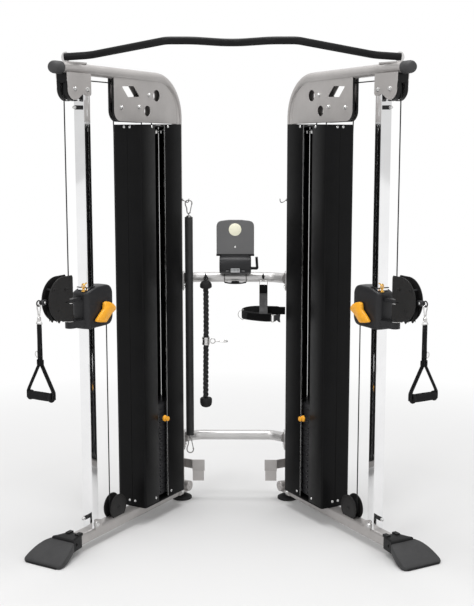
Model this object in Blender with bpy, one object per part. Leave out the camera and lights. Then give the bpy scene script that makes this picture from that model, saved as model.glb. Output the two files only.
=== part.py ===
"""Cable crossover machine: two cable towers joined by a pull-up bar and two rear tubes.

Metres, +Z up, the user stands on the -Y side. Each tower is turned TOWER_TURN about Z, so its
pieces are written in the tower's own axes (t, s, z): t points inboard, s points to the rear and
z points up, from a point on the floor under its column. The plane t = 0 is the one the cable
runs in. The right tower is the left one mirrored in X.
"""

from math import cos, pi, radians, sin, tan

import bmesh
import bpy
from mathutils import Matrix, Vector

# Whole machine
TOWER_X = 0.6584
TOWER_TURN = radians(30)
MID_DEPTH = 0.1913
GAP = 0.0003
SIDES = 12
WELD_REACH = 0.00002

# Floor level pieces
BEAM_TOP = 0.086
BEAM_LOW = 0.033
BEAM_HALF = 0.030
BEAM_FRONT = -0.155
BEAM_REAR = 0.808
UPRIGHT_S = 0.7415
FOOT_PAD_S = 0.762
FOOT_PAD_R = 0.0525

# Bent frame tube
TUBE_R = 0.0254
TUBE_WALL = 0.003
TUBE_FRONT_S = -0.110
TUBE_FRONT_Z = 2.1813
TUBE_FALL = 0.0335
TUBE_BEND_R = 0.19
GRIP_R = 0.028
GRIP_FRONT_S = -0.2325

# Column and carriage
COLUMN_S = -0.009
COLUMN_WIDE = 0.055
COLUMN_DEEP = 0.044
COLUMN_WALL = 0.0025
COLUMN_TOP = 2.1495
HOLE_PITCH = 0.10
HOLE_COUNT = 18
HOUSING_LOW = 1.032
HOUSING_TOP = 1.2175
HOUSING_FRONT = -0.062
HOUSING_REAR = 0.152
HOUSING_HALF = 0.045
LEVER_PIVOT = (HOUSING_HALF + GAP, 0.098, 1.118)

# Pulleys and the cable that runs over them
GROOVE_R = 0.0415
RIM_R = 0.048
PULLEY_HALF = 0.0095
AXLE_R = 0.006
CABLE_R = 0.0028
PIVOT_S = -0.130
FRONT_PULLEY = (PIVOT_S + GROOVE_R, 2.093)
SWIVEL_PULLEY = (PIVOT_S - GROOVE_R, 1.2285)
GUIDE_PULLEY = (-0.223, 1.142)
REAR_PULLEY = (0.482, 2.077)
REAR_BOLTS = ((0.399, 2.021), (0.261, 2.017))
BOTTOM_PULLEY = (0.1805, 0.131)
RISER_S = BOTTOM_PULLEY[0] - GROOVE_R
COVER_R = 0.062

# Swivel arm, with D-shaped cheeks
ARM_S = -0.190
ARM_Z = 1.187
ARM_R = 0.100
ARM_EDGE_S = -0.125
CHEEK_T = 0.020
EAR_LOW = (1.047, 1.078)
EAR_TOP = (1.163, 1.179)

# Cable end and handle
RING_S = -0.333
RING_R = 0.012
WIRE_R = 0.003
HANDLE_S = -0.333
GRIP_Z = 0.781
GRIP_HALF = 0.0635
HAND_R = 0.019

# Weight stack inside its shroud
STACK_S = 0.482
PLATE_LONG = 0.270
PLATE_WIDE = 0.115
PLATE_PITCH = 0.0275
STACK_LOW = 0.108
FIXED_PLATES = 14
ROD_R = 0.0095
ROD_APART = 0.100
SHROUD_FRONT = 0.3237
SHROUD_REAR = 0.6705
SHROUD_HALF = 0.0786
SHROUD_LOW = 0.0934
SHROUD_TOP = 1.9389
SHEET = 0.0025
SLOT_FRONT = 0.440
SLOT_REAR = 0.521

# Shared pieces, in world X and Z, with Y counted from the middle of the machine
CROSS_Y = 0.680 - MID_DEPTH
HANG_Y = 0.620 - MID_DEPTH
UPPER_CROSS_Z = 1.168
LOWER_CROSS_Z = 0.337
CROSS_END_X = 0.2615
BAR_R = 0.0162
ROPE_X = -0.146
ROPE_R = 0.01365
ROPE_TOP = 1.108
ROPE_LOW = 0.539
CLAMP_LOW = 0.816
CUFF_X = 0.146
PEG_R = 0.0045
HOLDER_Y = 0.630 - MID_DEPTH
DRUM_R = 0.050
DRUM_Z = 1.231
BAR_X = -0.2295
SLEEVE_LOW = 0.353
SLEEVE_TOP = 1.480
HOOK_Z = 1.5487


def clear_scene():
    for thing in list(bpy.data.objects):
        bpy.data.objects.remove(thing)


def paint(name, colour, metallic, roughness):
    """A Principled material."""
    material = bpy.data.materials.new(name)
    material.use_nodes = True
    shader = material.node_tree.nodes["Principled BSDF"]
    shader.inputs["Base Color"].default_value = (*colour, 1)
    shader.inputs["Metallic"].default_value = metallic
    shader.inputs["Roughness"].default_value = roughness
    return material


# Shells: a shell is (points, faces), one closed surface.


def prism(outline, low, high, axes="tsz"):
    """An outline of (a, b) points pushed from low to high. axes names a, b and the push."""
    order = ["tsz".index(letter) for letter in axes]
    count = len(outline)
    points = []
    for level in (low, high):
        for a, b in outline:
            place = [0.0, 0.0, 0.0]
            place[order[0]], place[order[1]], place[order[2]] = a, b, level
            points.append(tuple(place))
    faces = [tuple(range(count)), tuple(range(count, 2 * count))]
    faces += [(i, (i + 1) % count, count + (i + 1) % count, count + i) for i in range(count)]
    return points, faces


def box(t, s, z):
    """A box from three (low, high) pairs."""
    return prism([(t[0], s[0]), (t[1], s[0]), (t[1], s[1]), (t[0], s[1])], z[0], z[1])


def arc(centre, radius, start, end, steps):
    """Points on an arc, angles in degrees."""
    turns = [radians(start + (end - start) * i / steps) for i in range(steps + 1)]
    return [(centre[0] + radius * cos(a), centre[1] + radius * sin(a)) for a in turns]


def rounded(a, b, radius, steps=3):
    """A rectangle from two (low, high) pairs, with its four corners rounded."""
    corners = ((a[1], b[1], 0), (a[0], b[1], 90), (a[0], b[0], 180), (a[1], b[0], 270))
    outline = []
    for x, y, turn in corners:
        middle_x = x - radius if turn in (0, 270) else x + radius
        middle_y = y - radius if turn in (0, 90) else y + radius
        outline += arc((middle_x, middle_y), radius, turn, turn + 90, steps)
    return outline


def disc(centre, radius, sides=SIDES):
    return arc(centre, radius, 0, 360, sides)[:-1]


def strip(path, thick):
    """The closed outline of a sheet that follows an open path, on the left of it."""
    left = []
    for i, here in enumerate(path):
        back = path[max(i - 1, 0)]
        ahead = path[min(i + 1, len(path) - 1)]
        first = Vector((here[0] - back[0], here[1] - back[1]))
        second = Vector((ahead[0] - here[0], ahead[1] - here[1]))
        first = first.normalized() if first.length else second.normalized()
        second = second.normalized() if second.length else first
        across = Vector((-first.y - second.y, first.x + second.x)).normalized()
        reach = thick / max(0.2, across.dot(Vector((-first.y, first.x))))
        left.append((here[0] + across.x * reach, here[1] + across.y * reach))
    return list(path) + left[::-1]


def bend(corners, radii, steps=6):
    """A 3D path through corners, each inner corner turned on its own radius."""
    corners = [Vector(c) for c in corners]
    path = [corners[0]]
    for i in range(1, len(corners) - 1):
        back = (corners[i - 1] - corners[i]).normalized()
        ahead = (corners[i + 1] - corners[i]).normalized()
        half = back.angle(ahead) / 2
        reach = radii[i - 1] / tan(half)
        centre = corners[i] + (back + ahead).normalized() * radii[i - 1] / sin(half)
        start = corners[i] + back * reach - centre
        end = corners[i] + ahead * reach - centre
        whole = start.angle(end)
        for k in range(steps + 1):
            share = k / steps
            spoke = start * sin((1 - share) * whole) + end * sin(share * whole)
            path.append(centre + spoke / sin(whole))
    path.append(corners[-1])
    return path


def sweep(path, radius, sides=SIDES, wall=None, closed=False):
    """A round tube along a path: solid, hollow with open ends, or closed into a ring."""
    path = [Vector(p) for p in path]
    count = len(path)
    points, normal = [], None
    for i, here in enumerate(path):
        back = path[i - 1] if (i or closed) else here
        ahead = path[(i + 1) % count] if (i < count - 1 or closed) else here
        along = ((here - back).normalized() + (ahead - here).normalized()).normalized()
        if normal is None:
            normal = along.orthogonal().normalized()
        normal = (normal - along * normal.dot(along)).normalized()
        side = along.cross(normal)
        step = (ahead - here) if ahead != here else (here - back)
        stretch = 1 / max(0.5, along.dot(step.normalized()))
        turn_axis = (here - back).cross(ahead - here)
        for ring in (radius, radius - wall) if wall else (radius,):
            for k in range(sides):
                a = 2 * pi * k / sides
                spoke = normal * cos(a) * ring + side * sin(a) * ring
                if turn_axis.length > 1e-9:
                    outward = turn_axis.cross(along).normalized()
                    spoke += outward * spoke.dot(outward) * (stretch - 1)
                points.append(tuple(here + spoke))
    rings = 2 if wall else 1
    row = sides * rings
    faces = []
    for i in range(count if closed else count - 1):
        a, b = i * row, ((i + 1) % count) * row
        for ring in range(rings):
            for k in range(sides):
                p, q = ring * sides + k, ring * sides + (k + 1) % sides
                faces.append((a + p, a + q, b + q, b + p))
    if closed:
        return points, faces
    for start in (0, (count - 1) * row):
        if wall:
            faces += [
                (start + k, start + (k + 1) % sides, start + sides + (k + 1) % sides, start + sides + k)
                for k in range(sides)
            ]
        else:
            faces.append(tuple(range(start, start + sides)))
    return points, faces


def rod(start, end, radius, sides=SIDES):
    return sweep([start, end], radius, sides)


def turned(profile, start, axis, sides=16):
    """A profile of (radius, height) points turned about an axis from start. A closed profile that
    stays off the axis makes a ring, and one that begins and ends on it makes a solid."""
    axis = Vector(axis).normalized()
    normal = axis.orthogonal().normalized()
    side = axis.cross(normal)
    solid = profile[0][0] == 0
    inner = profile[1:-1] if solid else profile
    points = []
    for k in range(sides):
        a = 2 * pi * k / sides
        spoke = normal * cos(a) + side * sin(a)
        points += [tuple(Vector(start) + axis * h + spoke * r) for r, h in inner]
    count = len(inner)
    faces = []
    for k in range(sides):
        a, b = k * count, ((k + 1) % sides) * count
        for i in range(count - 1 if solid else count):
            j = (i + 1) % count
            faces.append((a + i, a + j, b + j, b + i))
    if solid:
        points += [tuple(Vector(start) + axis * profile[0][1]), tuple(Vector(start) + axis * profile[-1][1])]
        first, last = len(points) - 2, len(points) - 1
        for k in range(sides):
            a, b = k * count, ((k + 1) % sides) * count
            faces += [(first, a, b), (last, a + count - 1, b + count - 1)]
    return points, faces


def loft(sections):
    """Closed outlines with equal point counts, joined one to the next, with flat ends."""
    count = len(sections[0])
    points = [tuple(p) for section in sections for p in section]
    faces = [tuple(range(count)), tuple(range(len(points) - count, len(points)))]
    for i in range(len(sections) - 1):
        a, b = i * count, (i + 1) * count
        faces += [(a + k, a + (k + 1) % count, b + (k + 1) % count, b + k) for k in range(count)]
    return points, faces


# Nodes


def make_mesh(name, shells, pivot, mirror):
    """One mesh of closed shells, measured from the pivot, with every face pointing out."""
    mesh = bpy.data.meshes.new(name)
    build = bmesh.new()
    for points, faces in shells:
        corners = []
        for p in points:
            place = Vector(p) - Vector(pivot)
            if mirror:
                place.x = -place.x
            corners.append(build.verts.new(place))
        for face in faces:
            build.faces.new([corners[i] for i in face])
    bmesh.ops.recalc_face_normals(build, faces=build.faces)
    build.to_mesh(mesh)
    build.free()
    return mesh


def helper(name, shells, pivot, mirror, parent):
    """A hidden operand of a Boolean."""
    thing = bpy.data.objects.new(name, make_mesh(name, shells, pivot, mirror))
    bpy.context.scene.collection.objects.link(thing)
    thing.parent = parent
    thing.location = place_of(pivot, mirror)
    thing.hide_render = True
    thing.display_type = "WIRE"
    return thing


def place_of(pivot, mirror):
    return Vector((-pivot[0] if mirror else pivot[0], pivot[1], pivot[2]))


def node(name, material, shells, pivot=(0, 0, 0), parent=None, mirror=False, trim=(), cut=()):
    """One sub-part: its first shell, trimmed to trim, joined to the rest, with cut taken away."""
    thing = bpy.data.objects.new(name, make_mesh(name, shells[:1], pivot, mirror))
    bpy.context.scene.collection.objects.link(thing)
    thing.parent = parent
    thing.location = place_of(pivot, mirror)
    thing.data.materials.append(material)
    for job, others in (("INTERSECT", trim), ("UNION", shells[1:]), ("DIFFERENCE", cut)):
        if not others:
            continue
        step = thing.modifiers.new(job.lower(), "BOOLEAN")
        step.operation = job
        step.solver = "EXACT"
        step.use_self = job != "INTERSECT"
        step.object = helper(f"{name}_{job.lower()}", others, pivot, mirror, parent)
    if thing.modifiers:
        weld = thing.modifiers.new("weld", "WELD")
        weld.merge_threshold = WELD_REACH
    thing.data.shade_smooth()
    thing.data.set_sharp_from_angle(angle=radians(35))
    return thing


def pulley(centre, half=PULLEY_HALF):
    """A grooved wheel whose bore runs on an axle along t."""
    bore = AXLE_R + 0.0004
    groove = GROOVE_R - CABLE_R - GAP
    profile = [(bore, -half), (RIM_R, -half), (groove, -0.0036), (groove, 0.0036), (RIM_R, half),
               (bore, half)]
    return turned(profile, (0, centre[0], centre[1]), (1, 0, 0), 16)


def axle(centre, half):
    return rod((-half, centre[0], centre[1]), (half, centre[0], centre[1]), AXLE_R, 8)


def both(outline, near, far):
    """The same plate on both sides of the cable plane."""
    return [prism(outline, near, far, "szt"), prism(outline, -far, -near, "szt")]


def tube_z(s):
    """Height of the centre line of the frame tube's long top run."""
    return TUBE_FRONT_Z - TUBE_FALL * (s - TUBE_FRONT_S)


def upright_local(x, y, z):
    """A world place beside the left upright, in tower axes."""
    dx, dy = x + TOWER_X, y + MID_DEPTH
    return (
        dx * cos(TOWER_TURN) - dy * sin(TOWER_TURN),
        dx * sin(TOWER_TURN) + dy * cos(TOWER_TURN),
        z,
    )


# Pieces of one tower


def base_beam():
    """Base tube, end cap, column foot plates, bottom pulley covers and a small rear bracket."""
    outline = rounded((-BEAM_HALF, BEAM_HALF), (BEAM_LOW, BEAM_TOP), 0.010, 2)
    tube = prism(outline, BEAM_FRONT, BEAM_REAR - 0.006, "tzs")
    middle = (BEAM_LOW + BEAM_TOP) / 2
    cap = turned([(0, 0), (0.0262, 0), (0.0262, 0.005), (0.022, 0.008), (0, 0.008)],
                 (0, BEAM_REAR - 0.008, middle), (0, 1, 0))
    foot = [(COLUMN_S - 0.034, 0.074), (COLUMN_S + 0.030, 0.074), (COLUMN_S + 0.030, 0.118),
            (COLUMN_S + 0.016, 0.138), (COLUMN_S - 0.020, 0.138), (COLUMN_S - 0.034, 0.118)]
    side = COLUMN_WIDE / 2 + GAP
    feet = both(foot, side, side + 0.004)
    cover = disc(BOTTOM_PULLEY, COVER_R, 12)
    covers = both(cover, 0.0185, 0.0215)
    pin = axle(BOTTOM_PULLEY, 0.020)
    lug = box((0.0285, 0.092), (0.742, 0.748), (0.092, 0.200))
    lug_foot = box((0.020, 0.092), (0.742, 0.785), (0.072, 0.078))
    lug_web = box((0.0285, 0.0325), (0.742, 0.785), (0.075, 0.150))
    slot = box((-0.0125, 0.0125), (BOTTOM_PULLEY[0] - 0.036, BOTTOM_PULLEY[0] + 0.036), (0.079, 0.088))
    return [tube, cap, *feet, *covers, pin, lug, lug_foot, lug_web], slot


def front_foot():
    """Flared rubber foot: a sloping top that narrows into a sleeve round the beam."""
    spots = (
        (-0.329, -0.130, 0.070, 0.020), (-0.290, -0.108, 0.054, 0.036),
        (-0.240, -0.088, 0.046, 0.057), (-0.190, -0.075, 0.042, 0.078),
        (BEAM_FRONT - GAP, -0.040, 0.038, 0.092),
    )
    sections = []
    for s, low, high, top in spots:
        edge = 0.010
        sections.append([
            (low, s, 0), (high, s, 0), (high, s, top - edge), (high - edge, s, top),
            (low + edge, s, top), (low, s, top - edge),
        ])
    return [loft(sections)]


def rear_foot():
    top = BEAM_LOW - GAP
    profile = [(0, 0), (FOOT_PAD_R, 0), (FOOT_PAD_R, 0.012), (FOOT_PAD_R - 0.006, top), (0, top)]
    return [turned(profile, (0, FOOT_PAD_S, 0), (0, 0, 1))]


def frame_tube():
    """Top run and rear upright in one bent tube, with both pulley brackets and a rear hook."""
    corner = (0, UPRIGHT_S, tube_z(UPRIGHT_S))
    path = bend(
        [(0, TUBE_FRONT_S, TUBE_FRONT_Z), corner, (0, UPRIGHT_S, BEAM_TOP + GAP)], [TUBE_BEND_R]
    )
    shells = [sweep(path, TUBE_R, wall=TUBE_WALL)]
    shells += front_bracket()
    shells += rear_bracket()
    hook = [upright_local(-0.268, HANG_Y + 0.004, HOOK_Z), upright_local(-0.217, HANG_Y, HOOK_Z),
            upright_local(-0.209, HANG_Y, HOOK_Z + 0.020)]
    shells.append(sweep(bend(hook, [0.006], 2), PEG_R, 6))
    return shells


def front_bracket():
    """Two cheeks under the tube that hold the column's top and the front pulley."""
    side = COLUMN_WIDE / 2 + GAP
    lobe = (-0.093, 2.093)
    cheek = [(0.020, 2.1525), (-0.145, 2.1525)]
    cheek += arc(lobe, 0.047, 175, 300, 5)
    cheek += [(-0.020, 2.072), (0.020, 2.074)]
    saddle = box((-side - 0.002, side + 0.002), (-0.108, 0.0185), (2.1498, 2.1565))
    spacer = rod((-side - 0.0027, -0.1385, 2.130), (side + 0.0027, -0.1385, 2.130), 0.005, 8)
    return [saddle, *both(cheek, side, side + 0.004), axle(FRONT_PULLEY, side + 0.0012), spacer]


def rear_bracket():
    """Two flat plates under the rear bend, holding the three rear pulleys."""
    sunk = 0.0185
    centre = (UPRIGHT_S - TUBE_BEND_R, tube_z(UPRIGHT_S - TUBE_BEND_R) - TUBE_BEND_R)
    outline = [(0.206, tube_z(0.206) - sunk), (0.206, 1.996)]
    outline += arc((0.256, 1.996), 0.050, 195, 270, 4)
    outline += [(UPRIGHT_S - sunk, 1.946)]
    outline += arc(centre, TUBE_BEND_R - sunk, 0, 88, 6)
    rollers = [prism(disc(spot, GROOVE_R, 12), -0.0148, 0.0148, "szt") for spot in REAR_BOLTS]
    return [*both(outline, 0.0135, 0.0165), axle(REAR_PULLEY, 0.0152), *rollers]


def rear_bracket_holes():
    """Two round lightening holes and a slanted one."""
    slant = [(0.266, 2.113), (0.3135, 2.065), (0.407, 2.067), (0.360, 2.1155)]
    shapes = [disc((0.546, 2.075), 0.027), disc((0.468, 2.002), 0.025), slant]
    return [prism(shape, -0.020, 0.020, "szt") for shape in shapes]


def tube_end_grip():
    """Rubber grip on the tube's front end, with a rounded tip."""
    along = Vector((0, -1, TUBE_FALL)).normalized()
    length = (TUBE_FRONT_S - GRIP_FRONT_S) / -along.y
    profile = [(0, GAP), (GRIP_R, GAP), (GRIP_R, length - 0.020)]
    profile += [(GRIP_R - 0.006, length - 0.008), (GRIP_R - 0.016, length), (0, length)]
    return [turned(profile, (0, TUBE_FRONT_S, TUBE_FRONT_Z), along)]


def column():
    """Hollow rectangular column with a row of stop holes behind and two bumpers in front."""
    front, rear = COLUMN_S - COLUMN_DEEP / 2, COLUMN_S + COLUMN_DEEP / 2
    half = COLUMN_WIDE / 2
    body = prism(rounded((-half, half), (front, rear), 0.004, 1), BEAM_TOP + GAP, COLUMN_TOP)
    bumpers = [box((-0.012, 0.012), (front - 0.011, front + 0.001), (z - 0.009, z + 0.009))
               for z in (0.1475, 2.068)]
    inner = rounded((-half + COLUMN_WALL, half - COLUMN_WALL),
                    (front + COLUMN_WALL, rear - COLUMN_WALL), 0.003, 1)
    holes = [prism(disc((0, 0.240 + HOLE_PITCH * i), 0.006, 6), rear - 0.008, rear + 0.002, "tzs")
             for i in range(HOLE_COUNT)]
    return [body, *bumpers], [prism(inner, 0, COLUMN_TOP + 0.01), *holes]


def carriage_housing():
    """Rounded block that slides on the column, with two ears for the swivel arm."""
    low, top = HOUSING_LOW, HOUSING_TOP
    front, rear = HOUSING_FRONT, HOUSING_REAR
    side_view = [(front, low), *arc((rear - 0.030, low + 0.032), 0.030, 290, 360, 3)]
    side_view += arc((rear - 0.035, top - 0.035), 0.035, 0, 90, 4)
    side_view += [(0.02, top), (front, top - 0.024)]
    plan = [*arc((-HOUSING_HALF + 0.022, front + 0.022), 0.022, 180, 270, 2)]
    plan += arc((HOUSING_HALF - 0.022, front + 0.022), 0.022, 270, 360, 2)
    plan += arc((HOUSING_HALF - 0.040, rear - 0.040), 0.040, 0, 90, 3)
    plan += arc((-HOUSING_HALF + 0.040, rear - 0.040), 0.040, 90, 180, 3)
    ears = []
    for levels, width in ((EAR_LOW, 0.033), (EAR_TOP, 0.0175)):
        ear = [(width, front + 0.010), (-width, front + 0.010)]
        ear += arc((0, PIVOT_S), width, 180, 360, 8)
        ears.append(prism(ear, *levels))
    boss = rod((0, RISER_S, low), (0, RISER_S, low + 0.03), 0.007, 12)
    stem = rod((0.0355, -0.005, top - 0.03), (0.0355, -0.005, top + 0.012), 0.003, 8)
    loop = [(0.0355, -0.005 + 0.011 * x, top + 0.021 + 0.011 * y) for x, y in disc((0, 0), 1, 10)]
    ring = sweep(loop, 0.0022, 6, closed=True)
    return [prism(side_view, -HOUSING_HALF, HOUSING_HALF, "szt"), *ears, boss, stem, ring], plan


def column_bore():
    clear = 0.0008
    half = COLUMN_WIDE / 2 + clear
    deep = COLUMN_DEEP / 2 + clear
    return box((-half, half), (COLUMN_S - deep, COLUMN_S + deep), (HOUSING_LOW - 0.02, HOUSING_TOP + 0.02))


def release_lever():
    """Flat paddle lever on the carriage's inboard face."""
    outline = [(0.082, 1.130), (0.092, 1.137), (0.106, 1.137), (0.134, 1.122), (0.142, 1.108),
               (0.138, 1.096), (0.100, 1.054), (0.092, 1.051), (0.046, 1.058), (0.078, 1.104)]
    start = LEVER_PIVOT[0]
    hub = prism(disc(LEVER_PIVOT[1:], 0.017, 16), start, start + 0.012, "szt")
    return [hub, prism(outline, start + 0.008, start + 0.020, "szt")]


def swivel_arm():
    """Two D-shaped cheeks on a vertical barrel, with a fixed guide roller between them."""
    cheek = [(ARM_EDGE_S, ARM_Z - ARM_R + 0.010), (ARM_EDGE_S, ARM_Z + ARM_R - 0.008)]
    cheek += [(ARM_EDGE_S - 0.008, ARM_Z + ARM_R)]
    cheek += arc((ARM_S, ARM_Z), ARM_R, 90, 270, 10)
    cheek += [(ARM_EDGE_S - 0.010, ARM_Z - ARM_R)]
    near, far = CHEEK_T - 0.0015, CHEEK_T + 0.0015
    barrel = rod((0, PIVOT_S, EAR_LOW[1] + GAP), (0, PIVOT_S, EAR_TOP[0] - GAP), 0.0195)
    roller = prism(disc(GUIDE_PULLEY, GROOVE_R - CABLE_R), -0.019, 0.019, "szt")
    spacer = rod((-0.019, -0.255, 1.236), (0.019, -0.255, 1.236), 0.005, 8)
    slot = box((-0.03, 0.03), (-0.151, -0.10), (EAR_TOP[0] - 0.001, EAR_TOP[1] + 0.001))
    return [barrel, *both(cheek, near, far), axle(SWIVEL_PULLEY, 0.019), roller, spacer], slot


def cable_end():
    """Crimped stop on the end of the cable, with the ring that the handle hooks on."""
    body = [(-0.280, 1.180), (-0.280, 1.194), (-0.300, 1.199), (-0.316, 1.194), (-0.322, 1.187),
            (-0.316, 1.179), (-0.300, 1.175)]
    loop = [(0, RING_S + RING_R * x, ARM_Z + RING_R * y) for x, y in disc((0, 0), 1)]
    rivet = rod((-0.0105, -0.300, ARM_Z), (0.0105, -0.300, ARM_Z), 0.006, 12)
    return [prism(body, -0.008, 0.008, "szt"), rivet, sweep(loop, WIRE_R, 6, closed=True)]


def handle_carabiner():
    """Snap hook through the ring, with a swivel barrel below."""
    top, low, half = ARM_Z - 0.0052, 1.135, 0.0085
    loop = [(x, HANDLE_S, top - half + y) for x, y in arc((0, 0), half, 0, 180, 6)]
    loop += [(x, HANDLE_S, low + half + y) for x, y in arc((0, 0), half, 180, 360, 6)]
    barrel = turned([(0, 0), (0.007, 0), (0.009, 0.008), (0.009, 0.020), (0.005, 0.026), (0, 0.026)],
                    (0, HANDLE_S, 1.1105), (0, 0, 1), 12)
    eye = box((-0.014, 0.014), (HANDLE_S - 0.003, HANDLE_S + 0.003), (1.0975, 1.1125))
    return [sweep(loop, WIRE_R, 6, closed=True), barrel, eye]


def handle():
    """Webbing strap that splits over a D-ring and holds a round hand grip."""
    s = HANDLE_S
    strap = box((-0.0125, 0.0125), (s - 0.002, s + 0.002), (0.930, 1.0970))
    knot = box((-0.020, 0.020), (s - 0.006, s + 0.006), (0.908, 0.972))
    legs = []
    for side in (-1, 1):
        outline = [(side * 0.004, 0.930), (side * 0.020, 0.922), (side * 0.0760, 0.800),
                   (side * 0.0760, GRIP_Z - 0.004), (side * 0.0650, GRIP_Z - 0.004), (side * 0.0630, 0.796)]
        legs.append(prism(outline, s - 0.011, s + 0.011, "tzs"))
    grip = turned([(0, 0), (HAND_R - 0.002, 0), (HAND_R, 0.004), (HAND_R, 2 * GRIP_HALF - 0.004),
                   (HAND_R - 0.002, 2 * GRIP_HALF), (0, 2 * GRIP_HALF)],
                  (-GRIP_HALF, s, GRIP_Z), (1, 0, 0), 12)
    core = rod((-0.070, s, GRIP_Z), (0.070, s, GRIP_Z), 0.008, 8)
    return [strap, knot, *legs, grip, core]


def stack_outline(inset):
    half_t, half_s = PLATE_WIDE / 2 - inset, PLATE_LONG / 2 - inset
    t, s = (-half_t, half_t), (STACK_S - half_s, STACK_S + half_s)
    return [(t[0], s[0]), (t[1], s[0]), (t[1], s[1]), (t[0], s[1])]


def plates(low, count, last):
    """Stacked plates with a fine groove between each two."""
    sections = []
    for i in range(count):
        z = low + PLATE_PITCH * i
        top = z + PLATE_PITCH - 0.002 if i < count - 1 else last
        for inset, level in ((0, z), (0, top), (0.002, top), (0.002, top + 0.002)):
            sections.append([(t, s, level) for t, s in stack_outline(inset)])
    return loft(sections[:-2])


def rod_holes(low, high, centre_hole):
    spots = [(0, STACK_S - ROD_APART), (0, STACK_S + ROD_APART)]
    holes = [prism(disc(spot, ROD_R + 0.0012, 12), low, high) for spot in spots]
    if centre_hole:
        holes.append(prism(disc((0, STACK_S), 0.0125, 12), low, high))
    return holes


def stack_top():
    return STACK_LOW + PLATE_PITCH * FIXED_PLATES


def weight_stack():
    low, high = STACK_LOW, stack_top() - 0.0004
    return [plates(low, FIXED_PLATES, high)], rod_holes(low - 0.01, high + 0.01, True)


def pin_place():
    return (0.0185, STACK_S, stack_top() + 0.0139)


def lifted_plates():
    """The two plates above the pin, the top plate, the stem and the fork of the moving pulley."""
    low = stack_top()
    high = low + 3 * PLATE_PITCH - 0.0025
    stem = rod((0, STACK_S, STACK_LOW + 0.02), (0, STACK_S, low + 0.01), 0.0105, 12)
    fork = box((-0.012, 0.012), (STACK_S - 0.016, STACK_S + 0.016), (high - 0.002, high + 0.075))
    wheel = prism(disc((STACK_S, high + 0.085), GROOVE_R - CABLE_R), -0.009, 0.009, "szt")
    cheeks = both(rounded((STACK_S - 0.016, STACK_S + 0.016), (high + 0.04, high + 0.105), 0.012, 2),
                  0.0085, 0.0125)
    pin = pin_place()
    pin_hole = prism(disc(pin[1:], 0.0050, 12), pin[0] - 0.001, PLATE_WIDE / 2 + 0.01, "szt")
    cuts = [*rod_holes(low - 0.01, high + 0.01, False), pin_hole]
    return [plates(low, 3, high), stem, fork, wheel, *cheeks], cuts


def selector_pin():
    """Pin through the plates, with a knob outside the shroud's slot."""
    start = pin_place()
    profile = [(0, 0), (0.0040, 0.001), (0.0040, 0.066), (0.0150, 0.068), (0.0150, 0.074),
               (0.0110, 0.079), (0.0130, 0.088), (0.0080, 0.092), (0, 0.092)]
    return [turned(profile, start, (1, 0, 0), 12)]


def guide_rods():
    """Two chromed rods between a floor plate, which stands on the beam, and a top plate."""
    wide, deep = (-SHROUD_HALF, SHROUD_HALF), (SHROUD_FRONT, SHROUD_REAR)
    floor = box(wide, deep, (BEAM_TOP + GAP, SHROUD_LOW - GAP))
    inset = SHEET + 0.0010
    lid = rounded((wide[0] + inset, wide[1] - inset), (deep[0] + inset, deep[1] - inset), 0.010, 1)
    top = prism(lid, SHROUD_TOP - 0.012, SHROUD_TOP - 0.006)
    shells = [floor, top]
    for s in (STACK_S - ROD_APART, STACK_S + ROD_APART):
        shells.append(rod((0, s, BEAM_TOP + 0.004), (0, s, SHROUD_TOP - 0.009), ROD_R, 12))
        shells.append(rod((0, s, SHROUD_LOW - 0.002), (0, s, STACK_LOW - GAP), 0.018, 12))
    return shells


def shroud_outer_shell():
    """Outer side, rear and half of the front, bent from one sheet."""
    r = 0.010
    half, front, rear = SHROUD_HALF, SHROUD_FRONT, SHROUD_REAR
    path = [(-0.0008, front), *arc((-half + r, front + r), r, 270, 180, 3)]
    path += arc((-half + r, rear - r), r, 180, 90, 3)
    path += arc((half - r, rear - r), r, 90, 0, 3)
    path += [(half, SLOT_REAR)]
    return [prism(strip(path, -SHEET), SHROUD_LOW, SHROUD_TOP)]


def shroud_inner_shell():
    """The other half of the front and the inboard side up to the slot."""
    r = 0.010
    path = [(0.0008, SHROUD_FRONT), *arc((SHROUD_HALF - r, SHROUD_FRONT + r), r, 270, 360, 3)]
    path += [(SHROUD_HALF, SLOT_FRONT)]
    return [prism(strip(path, SHEET), SHROUD_LOW, SHROUD_TOP)]


def cable_front_run():
    return [rod((0, PIVOT_S, SWIVEL_PULLEY[1]), (0, PIVOT_S, FRONT_PULLEY[1]), CABLE_R, 8)]


def cable_rear_run():
    return [rod((0, RISER_S, BOTTOM_PULLEY[1]), (0, RISER_S, HOUSING_LOW - GAP), CABLE_R, 8)]


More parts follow.
